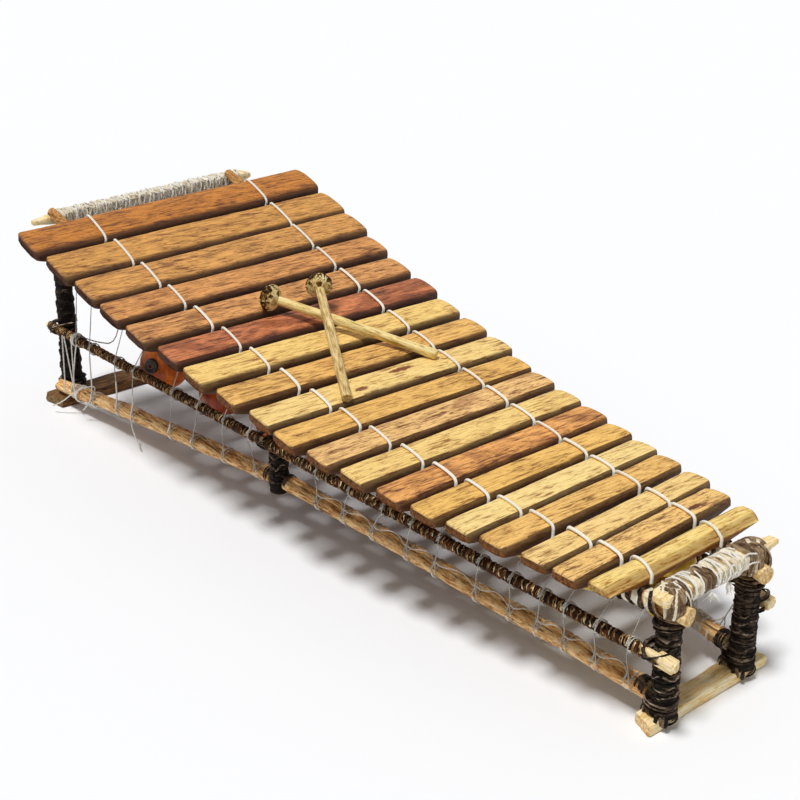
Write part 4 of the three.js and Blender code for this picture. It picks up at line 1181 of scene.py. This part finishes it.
lacing = {
    "radius": 0.0009,
    "lean": [0.0, 0.006, 0.03, 0.05, 0.02, 0.02, 0.014, 0.008],
    "middle": [
        -0.482, -0.446, -0.381, -0.336, -0.244, -0.188, -0.133, -0.083, 0.04, 0.095, 0.148, 0.192, 0.233, 0.289,
        0.331, 0.37, 0.399, 0.437, 0.475
    ],
    "lower": [
        -0.506, -0.455, -0.393, -0.357, -0.272, -0.223, -0.159, -0.096, 0.017, 0.062, 0.11, 0.164, 0.207, 0.267,
        0.314, 0.35, 0.385, 0.424, 0.463
    ],
}
hitchReach, upperReach, loopReach = (
    railSizes[rail] + clear for rail, clear in (("middle", 0.0013), ("upper", 0.0013), ("lower", 0.0016))
)
for side, label in bothSides:
    out, draw, parts, tops = north * side, random.Random(40 + side), [], []
    for k, (middleX, lowerX) in enumerate(zip(lacing["middle"], lacing["lower"])):
        hitch, loop = middleAt(middleX, side), lowerAt(lowerX, side)
        topX = middleX + (lacing["lean"][k] if k < len(lacing["lean"]) else 0.002) + draw.uniform(-0.004, 0.004)
        rail = upperAt(topX, side)
        down = loop + out * (loopReach * 0.75) + up * (loopReach * 0.8)
        crossing = down.lerp(hitch + out * hitchReach, 0.16)
        strand = coil(rail, east * 0.003, out * upperReach, up * upperReach, -1.0 * side)
        strand += [rail + out * upperReach - up * 0.004, hitch + out * hitchReach * 0.8 + up * hitchReach * 0.7]
        strand += coil(hitch - east * 0.003, east * 0.006, out * hitchReach, up * hitchReach, -2.0 * side)
        sway = east * draw.uniform(-0.002, 0.002)
        strand += [
            hitch + out * hitchReach - up * 0.004, (hitch + out * hitchReach).lerp(crossing, 0.5) + sway, crossing
        ]
        for start, advance, begun in ((-0.0042, 0.0018, strand), (0.003, 0.0022, [crossing])):
            turn = coil(loop + east * start, east * advance, out * loopReach, up * loopReach, -1.0 * side)
            parts.append((0, cord(begun + turn, lacing["radius"])))
        tops.append(crossing)
    for k in range(8 if side < 0 else 1, len(tops) - 1):
        far = lacing["lower"][k + 1] - lacing["lower"][k]
        route = [tops[k]]
        for share, lean in (
            (0.12, 0.6), (0.35, draw.uniform(-0.4, 0.1)), (0.65, draw.uniform(-0.5, 0.1)), (0.9, 0.6)
        ):
            place = lowerAt(lacing["lower"][k] + far * share, side)
            route.append(place + out * loopReach * lean + up * (loopReach * math.sqrt(1 - lean * lean) + 0.0006))
        parts.append((0, cord(route + [tops[k + 1]], lacing["radius"] * 0.8, 0.003, 2, 0, sides=5, lobes=0)))
    if side < 0:
        knot = lowerAt(-0.497, side) + out * 0.011
        tied = knot + up * 0.006
        for place, reach, count, size, seed, spread, tilt in (
            (middleAt(-0.492, side), 0.0082, 3, 0.0011, 61, 0.004, 0.35),
            (lowerAt(-0.496, side), 0.0108, 2, 0.0012, 67, 0.003, 0.4)
        ):
            parts += bound(
                (1,), place, out * reach, up * reach, count, size, seed, spread=spread, tilt=tilt, flat=1.0
            )
        loose = [
            (-0.477, 0.008, 0.016), (-0.457, 0, 0.022), (-0.452, 0.009, 0.01), (-0.464, 0.0115, -0.006),
            (-0.472, 0.015, -0.016)
        ]
        hanging = [(-0.357, 0.012, 0), (-0.35, 0.015, -0.016), (-0.338, 0.016, -0.03), (-0.333, 0.016, -0.036)]
        loose, hanging = (
            [lowerAt(x, side) + out * reach + up * rise for x, reach, rise in stops] for stops in (loose, hanging)
        )
        for stops in (
            [middleAt(-0.52, side) + out * 0.008, lowerAt(-0.522, side) + out * 0.011],
            [middleAt(-0.515, side) + out * 0.008, tied],
            [middleAt(-0.495, side) + out * 0.008, tied],
            [tied, knot + Vector((-0.016, -0.014, -0.012)), knot + Vector((-0.03, -0.022, -0.02))],
            [tied, *loose],
            hanging,
        ):
            parts.append((1, cord(stops, lacing["radius"] * 1.15, 0.002, 2, 0.006)))
        slack = [
            middleAt(-0.487, side) + up * 0.008, middleAt(-0.46, side) + Vector((0, 0.01, 0.004)),
            middleAt(-0.42, side) + Vector((0, 0.02, 0.01)), upperAt(-0.395, side) - up * 0.035,
            upperAt(-0.385, side) - up * 0.009
        ]
        parts.append((1, cord(slack, lacing["radius"] * 1.3, 0.003, 2, 0.006)))
    addPiece(
        "sideLacing" + label, merged(parts), [stringFinish, whiteString], replacing="side_lacing_" + label.lower(),
        sharpAngle=80
    )
print("lacing made")


# Mallets: the stick's and the head's middles in the frame give the line of each mallet

malletSize = {"length": 0.23, "stick": 0.0063, "head": 0.0175, "halfHead": 0.013, "strips": 19}
stickTones = {"lower": ("#B08C40", "#EED284", "#FAEAB0"), "upper": ("#9A783E", "#D8B978", "#F2DCA4")}
headFinishes = [
    stripFinish("malletHeadCore", "#1C0F06", "#4E3214", "#A8803E", axis=0, scale=200, place=7.0),
    stripFinish("malletStripCream", "#8A6630", "#E2C683", "#FBEDC0", axis=0, scale=220, place=8.0),
    stripFinish("malletStripBrown", "#22130A", "#6E4A20", "#C29A56", axis=1, scale=220, place=9.0),
    stripFinish("malletStripDark", "#0E0704", "#341E0E", "#7E5A2C", axis=2, scale=220, place=10.0),
]


def middleOf(node):
    low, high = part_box(node)
    return (Vector(low) + Vector(high)) / 2 - layoutShift


def shapeHead(bm, grow):  # draws a ball of radius one into the head's egg
    reach = malletSize["head"] * grow
    bmesh.ops.scale(bm, vec=(reach, reach, malletSize["halfHead"] * grow), verts=bm.verts)


for name in ("lower", "upper"):
    headSpot = middleOf("mallet_head_" + name)
    way = (headSpot - middleOf("mallet_stick_" + name)).normalized()
    tip = headSpot - way * malletSize["length"]
    level = alongTo(tip, headSpot)
    turn = tuple(level.to_3x3().inverted().to_euler())
    stickWood = woodFinish(
        name + "StickWood", *stickTones[name], along=2, place=7.1 + len(stickTones[name][0]), fleck=0.35, rough=0.5,
        turn=turn, cracks=0.25
    )
    heights = [0.0006, 0.0016, 0.0034] + [mix(0.008, malletSize["length"] - 0.004, k / 26) for k in range(27)]
    radii = [0.86, 0.96, 1.0] + [1 - 0.06 * k / 26 for k in range(27)]
    stick = sweep([Vector((0, 0, height)) for height in heights], malletSize["stick"], sides=18, radii=radii)
    roughen(stick, 0.0008, 42, 7.1)
    stick.transform(level)
    addPiece(
        name + "MalletStick", stick, [stickWood], body=name + "_mallet", replacing="mallet_stick_" + name,
    )
    core = bmesh.new()
    bmesh.ops.create_uvsphere(core, u_segments=28, v_segments=18, radius=1)
    shapeHead(core, 0.92)
    parts = [(0, core)]
    for k in range(malletSize["strips"]):
        band = turned([(0.98, -0.07), (1.02, -0.062), (1.04, 0), (1.02, 0.062), (0.98, 0.07)], 36)
        lean, spin = math.radians(66 + 24 * math.sin(k * 2.4)), k * math.pi / malletSize["strips"] * 2.15
        band.transform(Matrix.Rotation(spin, 4, "Z") @ Matrix.Rotation(lean, 4, "X"))
        shapeHead(band, 0.935 + 0.014 * (k % 4))
        roughen(band, 0.0006, 160, k)
        for face in band.faces:
            spot = face.calc_center_median()
            share = spot.z / malletSize["halfHead"] + noise.noise(spot * 260) * 0.5
            face.material_index = 1 if share < -0.28 or k % 5 == 4 else 2 + k % 2
        parts.append((None, band))
    head = merged(parts)
    head.transform(level @ Matrix.Translation((0, 0, malletSize["length"])))
    addPiece(
        name + "MalletHead", head, headFinishes, body=name + "_mallet", replacing="mallet_head_" + name,
    )
print("mallets made")


# Floor, lamp and sky

floorMesh = bmesh.new()
bmesh.ops.create_grid(floorMesh, x_segments=1, y_segments=1, size=12)
floorData = bpy.data.meshes.new("floor")
floorMesh.to_mesh(floorData)
floorMesh.free()
floor = bpy.data.objects.new("floor", floorData)
floorFinish, _, floorShader = newFinish("paleFloor", 0.9, 0.0)
floorShader.inputs["Base Color"].default_value = (0.955, 0.96, 0.975, 1)
floorData.materials.append(floorFinish)
scene.collection.objects.link(floor)

world = bpy.data.worlds.new("studioSky")
world.use_nodes = True
scene.world = world
worldTree = world.node_tree
background = worldTree.nodes["Background"]
rays = addNode(worldTree, "LightPath")
seen = addNode(
    worldTree, "Math", {0: rays.outputs["Is Camera Ray"], 1: rays.outputs["Is Glossy Ray"]}, operation="MAXIMUM"
).outputs[0]
worldTree.links.new(addNode(worldTree, "Mix", {0: seen, 2: 0.27, 3: 1.0}).outputs[0], background.inputs["Strength"])
background.inputs["Color"].default_value = (1, 1, 1, 1)

sunlight = {"energy": 2.5, "angle": 12, "way": (-0.03, 0.28, -1)}
sunData = bpy.data.lights.new("skyLamp", "SUN")
sunData.energy = sunlight["energy"]
sunData.angle = math.radians(sunlight["angle"])
sun = bpy.data.objects.new("skyLamp", sunData)
sun.rotation_euler = Vector(sunlight["way"]).to_track_quat("-Z", "Y").to_euler()
scene.collection.objects.link(sun)
print("studio made")
